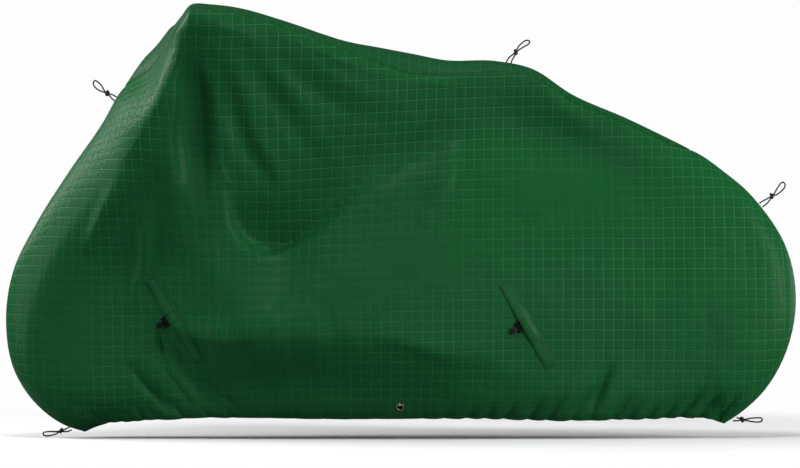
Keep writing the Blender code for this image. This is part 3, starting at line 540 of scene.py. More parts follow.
# least share along the line, how fast the ends fade, and the distance over which the two arms of a bent line
# pass into each other on its inner side
FOLD_ENDS, CREASE_ENDS = (0.02, 0.7, 25.0 * MM), (0.0, 1.0, 9.0 * MM)
CREASE_ROUND = 3.0 * MM  # radius to which a crease's bottom is rounded


def bell(distance, reach):
    """A soft fold across its line: exp(-distance^2 / (2 * reach^2))."""
    return np.exp(-((distance / reach) ** 2) / 2)


def cusp(distance, reach):
    """A crease across its line, nearly a V: exp((r - sqrt(distance^2 + r^2)) / reach), where r is small."""
    return np.exp((CREASE_ROUND - np.hypot(distance, CREASE_ROUND)) / reach)


def fold_depth(x, z, folds, across=bell):
    """How far a table of folds draws the cloth in at each x, z of the side view.

    Each fold adds depth * fade along its line * across(distance, spread * reach). Only the points near a fold
    are looked at.
    """
    total = np.zeros_like(x)
    share = np.linspace(0.0, 1.0, FOLD_STEPS + 1)[:, None]
    least, power, blend = FOLD_ENDS if across is bell else CREASE_ENDS
    ends_fade = np.sin(np.pi * np.clip(share[:, 0], least, 1 - least)) ** power
    for _, start, middle, end, depth, above, below in folds:
        start, middle, end = MM * np.array([start, middle, end])
        line = start * (1 - share) ** 2 + 2 * middle * share * (1 - share) + end * share**2
        far = MM * 4 * FOLD_SPREAD * max(above, below)
        low, high = line.min(axis=0) - far, line.max(axis=0) + far
        near = (x > low[0]) & (x < high[0]) & (z > low[1]) & (z < high[1])
        away = np.stack([x[near], z[near]], axis=-1)[:, None, :] - line
        squares = (away**2).sum(axis=-1)
        nearest = squares.argmin(axis=-1)
        offset = np.take_along_axis(away, nearest[:, None, None], axis=1)[:, 0]
        along = np.gradient(line, axis=0)[nearest]
        turn = along[:, 0] * offset[:, 1] - along[:, 1] * offset[:, 0]
        reach = MM * FOLD_SPREAD * np.where(turn > 0, above, below)
        weight = np.exp((squares.min(axis=-1, keepdims=True) - squares) / (2 * blend**2))
        fade = weight @ ends_fade / weight.sum(axis=-1)
        total[near] += MM * depth * fade * across(np.linalg.norm(offset, axis=-1), reach)
    return total


# %% Smooth curves through the table
def slopes(knots, values, limited):
    """Tangents at the rows of a table. Limited ones never make a column overshoot its own numbers."""
    step = np.diff(knots)[:, None]
    rate = np.diff(values, axis=0) / step
    before, after = rate[:-1], rate[1:]
    middle = (before * step[1:] + after * step[:-1]) / (step[1:] + step[:-1])
    if limited:
        least = np.minimum(abs(before), abs(after))
        middle = np.where(before * after > 0, np.sign(middle) * np.minimum(abs(middle), 3 * least), 0.0)
    return np.concatenate([rate[:1], middle, rate[-1:]])


def table_at(values, at, limited):
    """Rows of a table at fractional hoop numbers, spaced by the length of the top edge between hoops."""
    values = np.array(values, float).reshape(len(HOOPS), -1)
    knots = distance_along(np.array([row[0] for row in HOOPS]))
    slope = slopes(knots, values, limited)
    low = np.clip(at.astype(int), 0, len(HOOPS) - 2)
    step = (knots[low + 1] - knots[low])[:, None]
    share = (at - low)[:, None]
    return cubic(values[low], slope[low] * step, values[low + 1], slope[low + 1] * step, share)


def hoops_at(at):
    """For each fractional hoop number: the top edge's x, z, the way down in x, z, and the profile's points.

    The profile's points are distance down and half-width, at the top edge, shoulder, waist, belly, top of the
    hem band and hem. The strip's points are the same for the centre line, 3/4 and the top edge.
    """
    columns = list(zip(*HOOPS))
    top_edge, hem_edge = np.array(columns[0]), np.array(columns[6])
    edge = table_at(top_edge[:, :2], at, False) * MM
    hem = table_at(hem_edge[:, :2], at, False) * MM
    top_width, hem_width = table_at(np.stack([top_edge[:, 2], hem_edge[:, 2]], axis=1), at, True).T * MM
    rise = table_at(columns[1], at, True) * MM
    roll = np.radians(table_at(columns[2], at, True)[:, 0])
    down = hem - edge
    length = np.linalg.norm(down, axis=1)
    points = [(0 * length, top_width)]
    for column in columns[3:6]:
        share, half_width = table_at(column, at, True).T
        points.append((share * length, half_width * MM))
    band = np.minimum(HEM_BAND, HEM_LEAST + HEM_SHARE * length)
    points.append((length - band, hem_width + HEM_CURL * (points[-1][1] - hem_width)))
    points.append((length, hem_width))
    strip = [(-rise[:, 0], 0 * length), (-rise[:, 1], 0.75 * top_width), (0 * length, top_width)]
    points, strip = (np.array(line).transpose(2, 0, 1) for line in (points, strip))
    return edge, down / length[:, None], points, strip, roll


def profile_points(points, start, rows):
    """Points of each hoop's profile at these row numbers, on a smooth curve that leaves along start."""
    chords = np.diff(points, axis=1)
    steps = np.sqrt(np.maximum(np.linalg.norm(chords, axis=2), 1e-6))[..., None]
    rate = chords / steps
    inner = (rate[:, :-1] * steps[:, 1:] + rate[:, 1:] * steps[:, :-1]) / (steps[:, 1:] + steps[:, :-1])
    first = start[:, None] * np.linalg.norm(rate[:, :1], axis=2)[..., None]
    slope = np.concatenate([first, inner, rate[:, -1:]], axis=1)
    low = np.minimum(np.asarray(rows).astype(int), points.shape[1] - 2)
    step = steps[:, low]
    share = (rows - low)[None, :, None]
    return cubic(points[:, low], slope[:, low] * step, points[:, low + 1], slope[:, low + 1] * step, share)


def outward(grid, on_centre):
    """Unit normals of a left half, hoops by rows, pointing away from the bicycle.

    on_centre marks the points where the two halves meet, and where the normal lies in the middle plane.
    """
    normals = np.cross(np.gradient(grid, axis=1), np.gradient(grid, axis=0))
    normals[on_centre, 1] = 0.0
    return unit(normals)

# %% [markdown]
# ## Creases and gathers
#
# The main folds alone look like moulded plastic. Thin coated cloth also has many shallow creases that run
# from each point where it is held, small gathers where the elastic pulls the hem in, and puckers along
# each seam. They are a few millimetres deep, so they belong to the fine surface only. Both tables have
# the same columns as the main folds. Sharp creases have the shape of a cusp, soft ones that of a bell.

# %% The table of creases
CREASES = (
    # name            start          middle         end        depth above below
    ("front_arris", (-807, 125), (-807, 0), (-843, -86), -7, 16, 16),
    ("front_edge", (-842, -69), (-890, -161), (-986, -277), -4, 26, 30),
    ("tongue_edge", (-684, -320), (-638, -560), (-400, -298), 12, 70, 36),
    ("tongue_end", (-330, -276), (-199, -213), (-117, -150), 7, 50, 32),
    ("seat_crease", (-119, -116), (-124, -184), (-141, -252), 4, 11, 11),
    ("seam_ridge_1", (-615, 96), (-451, 4), (-282, -35), -4, 13, 13),
    ("seam_ridge_2", (-321, -29), (-185, -53), (-49, -56), -4, 12, 12),
    ("buckle_fold_1", (-862, -655), (-866, -690), (-852, -735), 12, 12, 15),
    ("buckle_fold_2", (-850, -662), (-818, -702), (-765, -765), 11, 13, 15),
    ("low_front_1", (-942, -737), (-898, -791), (-840, -849), 4.5, 10, 15),
    ("low_front_2", (-883, -698), (-825, -781), (-772, -849), 5, 11, 16),
    ("low_front_3", (-777, -761), (-713, -810), (-655, -858), 5, 11, 16),
    ("low_front_4", (-1096, -802), (-1042, -836), (-1003, -875), 3, 8, 12),
    ("rear_crease", (234, -728), (214, -786), (175, -874), 14, 12, 20),
    ("dark_streak_1", (-563, -567), (-582, -601), (-616, -649), 4, 10, 12),
    ("dark_streak_2", (-509, -572), (-490, -611), (-456, -659), -3, 12, 12),
)
SOFT_CREASES = (
    ("under_grip", (-798, 40), (-782, -120), (-796, -330), 30, 96, 46),
    ("grip_shoulder", (-820, 96), (-740, 96), (-640, 70), -6, 26, 30),
    ("belly_edge_1", (-820, -742), (-575, -628), (-301, -664), -6, 60, 44),
    ("belly_edge_2", (-335, -648), (-161, -692), (-7, -750), -5, 50, 40),
    ("belly_dip_1", (-720, -560), (-700, -660), (-640, -740), 7, 30, 40),
    ("belly_dip_2", (-470, -590), (-440, -660), (-430, -730), 6, 34, 34),
    ("belly_dip_3", (-590, -600), (-570, -660), (-575, -720), -6, 30, 30),
    ("belly_under", (-800, -800), (-560, -762), (-180, -800), 12, 60, 70),
    ("seat_ridge", (-141, -199), (-165, -305), (-214, -378), -4, 18, 14),
    ("rear_low", (-60, -845), (220, -850), (480, -830), -16, 130, 60),
    ("front_low", (-1060, -790), (-970, -835), (-870, -850), -12, 120, 60),
    ("saddle_hollow", (-68, -150), (107, -195), (313, -265), 22, 64, 84),
    ("rear_fold", (449, -534), (478, -646), (459, -748), 2.5, 26, 26),
    ("chest_fold_1", (-971, -271), (-1000, -342), (-1039, -451), -4, 13, 15),
    ("chest_fold_2", (-930, -320), (-966, -427), (-981, -572), 2.5, 14, 14),
    ("chest_fold_3", (-871, -305), (-893, -427), (-917, -572), -4, 13, 13),
    ("fork_fold", (-786, -407), (-791, -480), (-835, -572), -3, 14, 16),
    ("blob_ridge_1", (-845, -622), (-735, -708), (-625, -640), -15, 56, 28),
    ("blob_ridge_2", (-330, -668), (-224, -690), (-98, -722), -7, 38, 22),
)
# Gathers along the hem: x at the hem, height, lean to the rear at the top, depth
GATHERS = (
    (-990, 28, -12, 5.0), (-962, 34, -16, 6.5), (-933, 30, -18, 6.5), (-904, 44, -26, 7.5),
    (-872, 38, -26, 7.5), (-806, 40, -30, 7.5), (-742, 36, -26, 6.0), (-690, 30, -18, 4.5),
    (-600, 20, 6, 1.6), (-541, 24, 4, 1.9), (-470, 20, 8, 1.6), (-396, 22, 10, 1.6), (-342, 18, 8, 1.4),
    (-230, 29, 16, 3.0), (-176, 34, 21, 6.0), (-121, 38, 26, 9.3), (-77, 44, 31, 10.2),
    (-31, 48, 34, 11.6), (28, 61, 44, 14.0), (74, 61, 44, 14.0), (135, 90, 62, 15.3), (233, 70, 52, 15.3),
    (267, 44, 34, 12.6), (315, 48, 36, 13.5), (359, 57, 44, 14.0), (401, 73, 55, 15.8),
    (450, 70, 52, 14.9), (501, 64, 47, 13.5),
)
GATHER_ABOVE, GATHER_BELOW = 11, 20
GATHER_LINE = ((-0.5, -0.6), (0.2, 0.35), (1.0, 1.0))  # start, middle, end: shares of the lean and the height
HEM_LINE = ((-1029, -965, -896, 480), (-890, -878, -868, -868))  # x, and the hem's z there
FOLD_WANDER, CREASE_WANDER = 3.0 * MM, 5.0 * MM  # how far folds and soft creases stray from their lines
RIPPLE_LENGTHS = (0.42, 0.31, 0.24, 0.19, 0.15, 0.12, 0.095, 0.075)
RIPPLE_HEIGHT = 0.0012  # as a share of the wave's length
RIPPLE_SEEDS = {"left": 5, "right": 11}


def gather_rows(gathers):
    """Rows for fold_depth. Each trough starts below the hem, so that it is deepest near the hem's edge."""
    rows = []
    for x, height, lean, depth in gathers:
        low = np.interp(x, *HEM_LINE)
        line = ((x + across * lean, low + up * height) for across, up in GATHER_LINE)
        rows.append(("gather", *line, depth, GATHER_ABOVE, GATHER_BELOW))
    return tuple(rows)


def wandering(x, z, size):
    """The place of a point a few millimetres off, by slow waves, so that no crease is a perfect curve."""
    return (
        x + size * (np.sin(z / 0.031 + 1.3) + np.sin(x / 0.047 + 2.1 * np.sin(z / 0.11))),
        z + size * (np.sin(x / 0.036 + 0.4) + np.sin(z / 0.052 + 1.7 * np.sin(x / 0.09))),
    )


def ripples(x, z, seed):
    """Very shallow waves: a sum of amplitude * sin(wave vector . place + phase) in many directions."""
    chance = np.random.default_rng(seed)
    total = np.zeros_like(x)
    for length in RIPPLE_LENGTHS:
        for turn, phase in zip(chance.uniform(0, np.pi, 3), chance.uniform(0, 2 * np.pi, 3)):
            wave = 2 * np.pi / length
            total += RIPPLE_HEIGHT * length * np.sin(wave * (x * np.cos(turn) + z * np.sin(turn)) + phase)
    return total


# %% [markdown]
# ## From the table to a fine grid
#
# The points of each hoop are spread by their distance along the cloth, so that no quad is much longer
# than its neighbours. The rows next to a seam lie closer together, because a seam pulls the cloth into a
# narrow groove with small puckers on both sides.

# %% Sample one side of the cover finely
HOOP_COUNT = 433  # odd, so that the inner face can use every second one
STRIP_COUNT, PANEL_COUNT, BAND_COUNT = 13, 165, 9  # points across half the strip, a panel and a hem band
TOP, LOW = STRIP_COUNT - 1, STRIP_COUNT + PANEL_COUNT - 2  # columns of the panel's top and lower edge
TRIAL_HOOPS, TRIAL_POINTS = 3000, 321  # far finer samples, from which the even ones are taken
NEAR_SEAM = np.array([0.0, 1.5, 3.0, 5.0, 8.0]) * MM
SEAM_DIP, SEAM_REACH = 2.8 * MM, 4.2 * MM
SEAM_FADES = ((-0.90, -0.74), (0.2, 1.0))  # x, and the groove's depth there, less in front of the grip
PUCKER, PUCKER_PITCH, PUCKER_REACH = 0.55 * MM, 14.0 * MM, 14.0 * MM
HEM_ROLL, HEM_ROLL_REACH = 6.0 * MM, 24.0 * MM  # how far the elastic draws the lowest edge in
SHORT_HOOP = 300.0 * MM  # on shorter hoops than this the elastic draws it in less
MIRROR = {"left": (1, 1, 1), "right": (1, -1, 1)}


def even_hoops(count):
    """Hoop numbers that lie evenly along the cover, mostly by its top edge and partly by its hem."""
    trial = np.linspace(0.0, len(HOOPS) - 1.0, TRIAL_HOOPS)
    edge, down, points, _, _ = hoops_at(trial)
    travel = 0.7 * distance_along(edge) + 0.3 * distance_along(edge + down * points[:, 5, :1])
    return np.interp(np.linspace(0.0, travel[-1], count), travel, trial)


def spread_by_distance(dense, count):
    """Each row of points again, with close points near its start and evenly spread ones after them."""
    travel = distance_along(dense, 1)
    total = travel[:, -1:]
    close = NEAR_SEAM * np.minimum(1.0, total / 0.2)
    rest = np.linspace(0.0, 1.0, count - len(NEAR_SEAM) + 1)[1:]
    target = np.concatenate([close, close[:, -1:] + rest * (total - close[:, -1:])], axis=1)
    low = (travel[:, None, :] <= target[:, :, None]).sum(axis=-1) - 1
    low = np.clip(low, 0, dense.shape[1] - 2)
    before, after = (np.take_along_axis(travel, low + step, axis=1) for step in (0, 1))
    share = ((target - before) / np.maximum(after - before, 1e-9))[..., None]
    before, after = (np.take_along_axis(dense, low[..., None] + step, axis=1) for step in (0, 1))
    return before * (1 - share) + after * share


def seam_groove(grid):
    """How far the seam beside the strip draws the cloth in: a groove, and puckers that die away beside it."""
    from_seam = distance_along(grid, 1)
    from_seam = np.abs(from_seam - from_seam[:, TOP : TOP + 1])
    travel = distance_along(grid[:, TOP])
    phase = 2 * np.pi * travel / PUCKER_PITCH + 0.7 * np.sin(travel / 0.083) + np.sin(travel / 0.041 + 1.0)
    pucker = PUCKER * ((0.6 + 0.4 * np.sin(travel / 0.12)) * np.sin(phase))[:, None]
    groove = SEAM_DIP * bell(from_seam, SEAM_REACH / np.sqrt(2))
    groove += pucker * np.exp(-from_seam / PUCKER_REACH) * (from_seam > 0)
    return groove * np.interp(grid[:, TOP, 0], *SEAM_FADES)[:, None]


def hem_roll(grid):
    """How far the elastic draws the lowest edge in: a parabola that starts at a distance from the hem."""
    travel = distance_along(grid, 1)
    narrow = np.minimum(1.0, travel[:, -1:] / SHORT_HOOP)
    from_hem = (travel[:, -1:] - travel) / (narrow * HEM_ROLL_REACH)
    return narrow * HEM_ROLL * np.clip(1 - from_hem, 0.0, 1.0) ** 2


HOOP_NUMBERS = even_hoops(HOOP_COUNT)
SHARP_CREASES = CREASES + gather_rows(GATHERS)


def half_cover(side):
    """Outer points of one side, hoops by rows from the centre line over the strip to the hem.

    Returns the grid with all creases, the plain one with the main folds only, and the unit normals.
    """
    edge, down, points, strip, roll = hoops_at(HOOP_NUMBERS)
    level = np.tile([0.0, 1.0], (HOOP_COUNT, 1))
    leaving = np.stack([np.cos(roll), np.sin(roll)], axis=1)
    top = profile_points(strip, level, np.linspace(0.0, 2.0, STRIP_COUNT)[:-1])
    panel = profile_points(points, leaving, np.linspace(0.0, 4.0, TRIAL_POINTS))
    band = profile_points(points, leaving, np.linspace(4.0, 5.0, BAND_COUNT)[1:])
    flat = np.concatenate([top, spread_by_distance(panel, PANEL_COUNT), band], axis=1)
    place = edge[:, None] + down[:, None] * flat[..., :1]
    grid = np.stack([place[..., 0], -flat[..., 1], place[..., 1]], axis=-1)
    on_centre = flat[..., 1] < 1e-6

    shift, strength = (FAR_SIDE_SHIFT, FAR_SIDE_DEPTH) if side == "right" else ((0.0, 0.0), 1.0)
    x, z = grid[..., 0] - shift[0], grid[..., 2] - shift[1]
    strength = strength * smooth(flat[..., 0] / FOLD_FREE)
    folds = strength * fold_depth(*wandering(x, z, FOLD_WANDER), FOLDS)
    plain = grid - outward(grid, on_centre) * folds[..., None]

    creases = fold_depth(x, z, SHARP_CREASES, cusp)
    creases += fold_depth(*wandering(x, z, CREASE_WANDER), SOFT_CREASES)
    creases = strength * (creases + ripples(x, z, RIPPLE_SEEDS[side]) + hem_roll(grid))
    groove = np.where(flat[..., 0] >= 0, seam_groove(grid), 0.0)
    fine = plain - outward(plain, on_centre) * (creases + groove)[..., None]
    return tuple(part * MIRROR[side] for part in (fine, plain, outward(fine, on_centre)))


# %% [markdown]
# ## Laying the cloth out flat
#
# The cloth has squares woven and embossed into it, and they must follow it over every bulge. That takes a
# map from the hanging surface to the flat cloth that was cut. Each small triangle of the surface should
# keep its size and shape on the flat map, only turned, and the map is the one that comes closest for all
# of them together, in the sense of least squares. Conjugate gradients find it in a few hundred cheap
# steps.

# %% Flatten the side panel
FLAT_ROUNDS, FLAT_STEPS = 2, 700
COARSE = 4  # every fourth point is enough to find the map
# the cloth is pulled tight over the grip, so the squares there are up to an eighth larger
SLACK_CENTRE, SLACK_MORE, SLACK_REACH = np.array([-0.60, 0.02]), 0.13, 0.30
NEXT, LAST = [1, 2, 0], [2, 0, 1]  # the corners of a triangle after and before each one


def flat_map(grid):
    """Flat coordinates of a grid of points, in metres, with as little stretch as possible.

    For each triangle with corners p and flat corners u it makes sum of w * |(u_i - u_j) - turn (q_i - q_j)|^2
    small, where q is the triangle laid in its own plane and w the cotangent of the angle opposite the side.
    """
    points = grid.reshape(-1, 3)
    count = len(points)
    start = halved(grid_faces(*grid.shape[:2]))
    end = start[:, NEXT]
    p = points[start]
    normal = unit(np.cross(p[:, 1] - p[:, 0], p[:, 2] - p[:, 0]))
    nx, ny, nz = (normal * np.where(normal[:, 1:2] > 0, -1.0, 1.0)).T
    # the smallest turn that carries the direction -Y to the normal, applied to the X and the Z axis
    lean = np.maximum(1.0 - ny, 1e-6)
    first = np.stack([1 - nx**2 / lean, nx, -nx * nz / lean], axis=1)
    second = np.stack([-nx * nz / lean, nz, 1 - nz**2 / lean], axis=1)
    q = np.stack([np.einsum("tcd,td->tc", p, way) for way in (first, second)], axis=-1)
    side = q - q[:, NEXT]
    a, b = q - q[:, LAST], q[:, NEXT] - q[:, LAST]
    cross = np.abs(a[..., 0] * b[..., 1] - a[..., 1] * b[..., 0])
    weight = np.clip((a * b).sum(-1) / np.maximum(cross, 1e-12), 0.02, 50.0)

    def summed(corners, values):
        return np.bincount(corners.ravel(), values.ravel(), count)

    def spread(values):
        """Adds what each triangle side says to its two ends, with opposite signs."""
        pulls = (weight * values[..., axis] for axis in (0, 1))
        return np.stack([summed(start, pull) - summed(end, pull) for pull in pulls], axis=-1)

    scale = (summed(start, weight) + summed(end, weight))[:, None]
    flat = points[:, [0, 2]].copy()
    turn = np.tile(np.eye(2), (len(start), 1, 1))
    for _ in range(FLAT_ROUNDS):
        left = spread(np.einsum("tij,tcj->tci", turn, side)) - spread(flat[start] - flat[end])
        direction = left / scale
        power = (left * direction).sum(0)
        for _ in range(FLAT_STEPS):
            pushed = spread(direction[start] - direction[end])
            rate = power / np.maximum((direction * pushed).sum(0), 1e-30)
            flat += rate * direction
            left -= rate * pushed
            eased_left = left / scale
            new_power = (left * eased_left).sum(0)
            direction = eased_left + new_power / np.maximum(power, 1e-30) * direction
            power = new_power
        fit = np.einsum("tc,tci,tcj->tij", weight, flat[start] - flat[end], side)
        angle = np.arctan2(fit[:, 1, 0] - fit[:, 0, 1], fit[:, 0, 0] + fit[:, 1, 1])
        c, s = np.cos(angle), np.sin(angle)
        turn = np.stack([np.stack([c, -s], -1), np.stack([s, c], -1)], axis=-2)
    return flat.reshape(*grid.shape[:2], 2)


def finer(coarse, rows, columns):
    """A coarse grid of values, filled in to more rows and columns along straight lines between its points."""
    row, column = (np.linspace(0, size - 1, more) for size, more in zip(coarse.shape, (rows, columns)))
    low_row = np.minimum(row.astype(int), len(coarse) - 2)
    low_column = np.minimum(column.astype(int), coarse.shape[1] - 2)
    s, t = (row - low_row)[:, None, None], (column - low_column)[None, :, None]
    across = coarse[low_row] * (1 - s) + coarse[low_row + 1] * s
    return across[:, low_column] * (1 - t) + across[:, low_column + 1] * t


def panel_map(plain):
    """The flat map of a left side panel and its hem band together."""
    across = finer(flat_map(plain[::COARSE, ::COARSE]), *plain.shape[:2])
    away = across - SLACK_CENTRE
    slack = SLACK_MORE * bell(np.linalg.norm(away, axis=-1, keepdims=True), SLACK_REACH)
    return SLACK_CENTRE + away * (1 - slack)


COVER = {side: half_cover(side) for side in ("left", "right")}  # fine points, plain points, normals
ACROSS = {side: panel_map(plain[:, TOP:] * MIRROR[side]) for side, (_, plain, _) in COVER.items()}

cloth_length = np.linalg.norm(np.diff(COVER["left"][1][:, TOP:], axis=0), axis=-1)
stretch = np.linalg.norm(np.diff(ACROSS["left"], axis=0), axis=-1) / cloth_length
print("stretch of the flat map, 5 to 95 %:", np.round(np.percentile(stretch, (5, 50, 95)), 3))

# %% [markdown]
# ## The finish of the cloth
#
# The cloth is a coated ripstop. Fine threads run both ways, and every 25 mm a thicker group of threads
# stands out as a rib, with a thin groove on either side, so the surface is divided into squares that are
# a little pillowed. The coating gives a satin gloss. The pattern is worked out from the flat map, in
# metres, so its squares have their real size and follow the cloth. One group makes it, and each green
# finish places it with its own values.

# %% Ripstop squares as a node group
SQUARE, RIB_WIDTH, WEAVE = 24.9 * MM, 3.4 * MM, 1.1 * MM
SQUARE_HALF = 12.5 * MM
RIB_SOFT, GROOVE_AT, GROOVE_HALF = 0.15, 1.45, 0.75  # shares of a rib's half-width
RIB_HIGH, GROOVE_HIGH, PILLOW_HIGH = 0.38 * MM, -0.14 * MM, 0.50 * MM
CRINKLE_HIGH, WEAVE_HIGH = 0.24 * MM, 0.012 * MM


def ripstop_group():
    """Height, rib mask, groove mask for painted shade, and tone of coated ripstop.

    For each direction the distance to the nearest rib is |fraction(u / pitch + 1/2) - 1/2| * pitch. The rib
    is a smooth step of that distance, the groove a bump beside it, and the pillow a product of two parabolas.
    """
    tree, given, give = new_group(
        "ripstop",
        {
            "Vector": ("Vector", None), "Pitch": ("Float", SQUARE), "Rib": ("Float", RIB_WIDTH),
            "Clarity": ("Float", 1.0), "Depth": ("Float", 1.0),
        },
        {"Height": "Float", "Rib": "Float", "Painted groove shade": "Float", "Tone": "Float", "Gloss": "Float"},
    )

    def times(one, other):
        return maths(tree, "MULTIPLY", one, other)

    where = shader_node(tree, "ShaderNodeSeparateXYZ", {"Vector": given["Vector"]}).outputs
    half = times(given["Rib"], 0.5)
    ribs, grooves, pillows, cells, threads = [], [], [], [], []
    for axis in ("X", "Y"):
        count = maths(tree, "DIVIDE", where[axis], given["Pitch"])
        shifted = maths(tree, "FRACT", maths(tree, "ADD", count, 0.5))
        away = maths(tree, "ABSOLUTE", maths(tree, "SUBTRACT", shifted, 0.5))
        metres = times(away, given["Pitch"])
        ribs.append(eased(tree, metres, half, times(half, RIB_SOFT)))
        past = maths(tree, "ABSOLUTE", maths(tree, "SUBTRACT", metres, times(half, GROOVE_AT)))
        grooves.append(eased(tree, past, times(half, GROOVE_HALF), 0.0))
        doubled = times(maths(tree, "SUBTRACT", 0.5, away), 2.0)
        pillows.append(maths(tree, "SUBTRACT", 1.0, times(doubled, doubled)))
        cells.append(maths(tree, "FLOOR", count))
        threads.append(maths(tree, "SINE", times(where[axis], 2 * np.pi / WEAVE)))
    highest = maths(tree, "MAXIMUM", *ribs)
    rib = times(highest, given["Clarity"])
    groove = times(maths(tree, "MAXIMUM", *grooves), given["Clarity"])
    groove = times(groove, maths(tree, "SUBTRACT", 1.0, highest))
    cell = shader_node(tree, "ShaderNodeCombineXYZ", {"X": cells[0], "Y": cells[1]}).outputs["Vector"]
    chance = shader_node(tree, "ShaderNodeTexWhiteNoise", {"Vector": cell}, noise_dimensions="2D")
    crinkle = noise(tree, given["Vector"], 190.0, 3.0, 0.6)
    height = times(rib, RIB_HIGH)
    for value, size in (
        (groove, GROOVE_HIGH), (times(*pillows), PILLOW_HIGH),
        (crinkle, CRINKLE_HIGH), (times(*threads), WEAVE_HIGH),
    ):
        height = maths(tree, "ADD", height, times(value, size))
    give("Height", times(height, given["Depth"]))
    give("Rib", rib)
    give("Painted groove shade", groove)
    give("Tone", chance.outputs["Value"])
    give("Gloss", crinkle)
    return tree


RIPSTOP = ripstop_group()


# %% Green cloth in four shades
def green_cloth(name, base, rib_colour_and_painted_highlight, roughness, specular, depth=1.0, clarity=None):
    """Coated ripstop of one shade. The attribute rib_clarity says where the ribs stand out less."""
    made, tree, shader = new_material(name, roughness, specular)
    flat = flat_place(tree)
    if clarity is None:
        clarity = shader_node(tree, "ShaderNodeAttribute", attribute_name="rib_clarity").outputs["Fac"]
    squares = placed(tree, RIPSTOP, {"Vector": flat, "Clarity": clarity, "Depth": depth})
    tone = maths(tree, "MULTIPLY", squares["Tone"], 0.10)
    shade = maths(tree, "ADD", maths(tree, "MULTIPLY", noise(tree, flat, 7.0, 3.0, 0.55), 0.24), tone)
    # The first two colours are random tone. The third is painted shade that darkens the grooves beside the
    # ribs.
    darker, lighter, painted_groove_shade = (tuple(share * part for part in base) for share in (0.80, 1.16, 0.6))
    ground = mixed(tree, shade, darker, lighter)
    ground = mixed(tree, maths(tree, "MULTIPLY", squares["Painted groove shade"], 0.35), ground, painted_groove_shade)
    # The ribs' lighter colour is partly their own threads and partly a painted highlight where the raised
    # ribs catch light.
    colour = mixed(tree, maths(tree, "MULTIPLY", squares["Rib"], 0.9), ground, rib_colour_and_painted_highlight)
    rough = maths(tree, "ADD", maths(tree, "MULTIPLY", squares["Gloss"], 0.16), roughness - 0.08)
    finish(tree, shader, colour, rough, squares["Height"])
    return made


panel_green = green_cloth("panel green", (0.0082, 0.084, 0.0232), (0.015, 0.134, 0.041), 0.38, 0.05)
# Painted shade: the top strip is the panels' cloth given a darker colour, because it faces up into more
# light.
strip_green_painted_darker = green_cloth("strip green painted darker", (0.0068, 0.073, 0.0204), (0.011, 0.102, 0.030), 0.40, 0.05)
hem_green = green_cloth("hem green", (0.0078, 0.082, 0.0224), (0.011, 0.110, 0.033), 0.40, 0.09)
flap_green = green_cloth("flap green", (0.0082, 0.088, 0.0240), (0.011, 0.106, 0.031), 0.42, 0.09, 0.6, 0.35)
print("finishes:", [surface.name for surface in (panel_green, strip_green_painted_darker, hem_green, flap_green)])

# %% [markdown]
# Each cloth piece is one closed sheet, 2 mm thick. Its inner face is never seen up close, so it gets
# every second point of the outer grid, and along the rim each inner edge meets two outer ones.

# %% Closed sheets and worn patches
def edge_loop(rows, columns):
    """Numbers of the points on a grid's edge, in order round it."""
    number = np.arange(rows * columns).reshape(rows, columns)
    return np.concatenate([number[0, :-1], number[:-1, -1], number[-1, :0:-1], number[:0:-1, 0]])


def closed_sheet(outer, inner, across):
    """A closed solid between two grids of points, of which the inner one is used at half the density."""
    inner = inner[::2, ::2]
    (rows, columns), (half_rows, half_columns) = outer.shape[:2], inner.shape[:2]
    points = np.concatenate([outer.reshape(-1, 3), inner.reshape(-1, 3)])
    quads = grid_faces(rows, columns)
    a, b, c, d = points[quads].transpose(1, 0, 2)
    shorter = np.linalg.norm(a - c, axis=1) < np.linalg.norm(b - d, axis=1)
    cuts = [np.stack([quads[:, one], quads[:, other]], 1) for one, other in (
        ([0, 1, 2], [0, 2, 3]), ([0, 1, 3], [1, 2, 3]),
    )]
    tops = np.where(shorter[:, None, None], *cuts).reshape(-1, 3)
    under = halved(grid_faces(half_rows, half_columns))[:, [0, 2, 1]] + rows * columns
    rim = edge_loop(rows, columns)
    inner_rim = edge_loop(half_rows, half_columns) + rows * columns
    inner_after, even, odd = np.roll(inner_rim, -1), rim[::2], rim[1::2]
    next_even = np.roll(even, -1)
    sides = [(even, inner_rim, odd), (odd, inner_rim, inner_after), (odd, inner_after, next_even)]
    faces = np.concatenate([tops, under, *(np.stack(corners, -1) for corners in sides)])
    across = np.concatenate([across.reshape(-1, 2), across[::2, ::2].reshape(-1, 2)])
    return points, outwards(points, faces), across


def set_back(grid):
    """The grid with its first and last column moved in by half a seam's gap."""
    moved = grid.copy()
    for end, neighbour in ((0, 1), (-1, -2)):
        moved[:, end] += unit(grid[:, neighbour] - grid[:, end]) * SEAM_GAP / 2
    return moved


# where the cloth is worn smooth: x, z, half-width, half-height in millimetres, share by which the ribs fade,
# together with their bump, their painted highlight and the painted shade of their grooves
# (negative on the front slope, where the cloth is stretched and they stand out)
SMOOTH_PATCHES = (
    (-1105, -620, 85, 190, 0.95), (-560, -560, 320, 100, 0.78), (-250, -470, 180, 90, 0.82),
    (120, -310, 200, 100, 0.82), (-640, -740, 260, 80, 0.70), (-795, -120, 60, 160, 0.8),
    (-800, -330, 120, 120, 0.75), (500, -640, 120, 120, 0.45), (-300, -330, 130, 80, 0.55),
    (60, -830, 420, 90, 0.50), (-900, -420, 80, 120, 0.6), (20, -620, 90, 90, 0.4),
    (-905, -70, 60, 120, -0.9), (-1010, -270, 60, 130, -0.7), (-1150, -480, 60, 160, -0.7),
)
CLEAREST, PATCH_SPREAD = 0.9, 0.75


def clarity_of(points):
    """How plainly the ribs show, from 0 to 1: each worn patch multiplies it by 1 - share * bell(distance)."""
    x, z = points[:, 0] / MM, points[:, 2] / MM
    clear = np.full_like(x, CLEAREST)
    for patch_x, patch_z, wide, high, share in SMOOTH_PATCHES:
        clear *= 1 - share * bell(np.hypot((x - patch_x) / wide, (z - patch_z) / high), PATCH_SPREAD)
    return clear


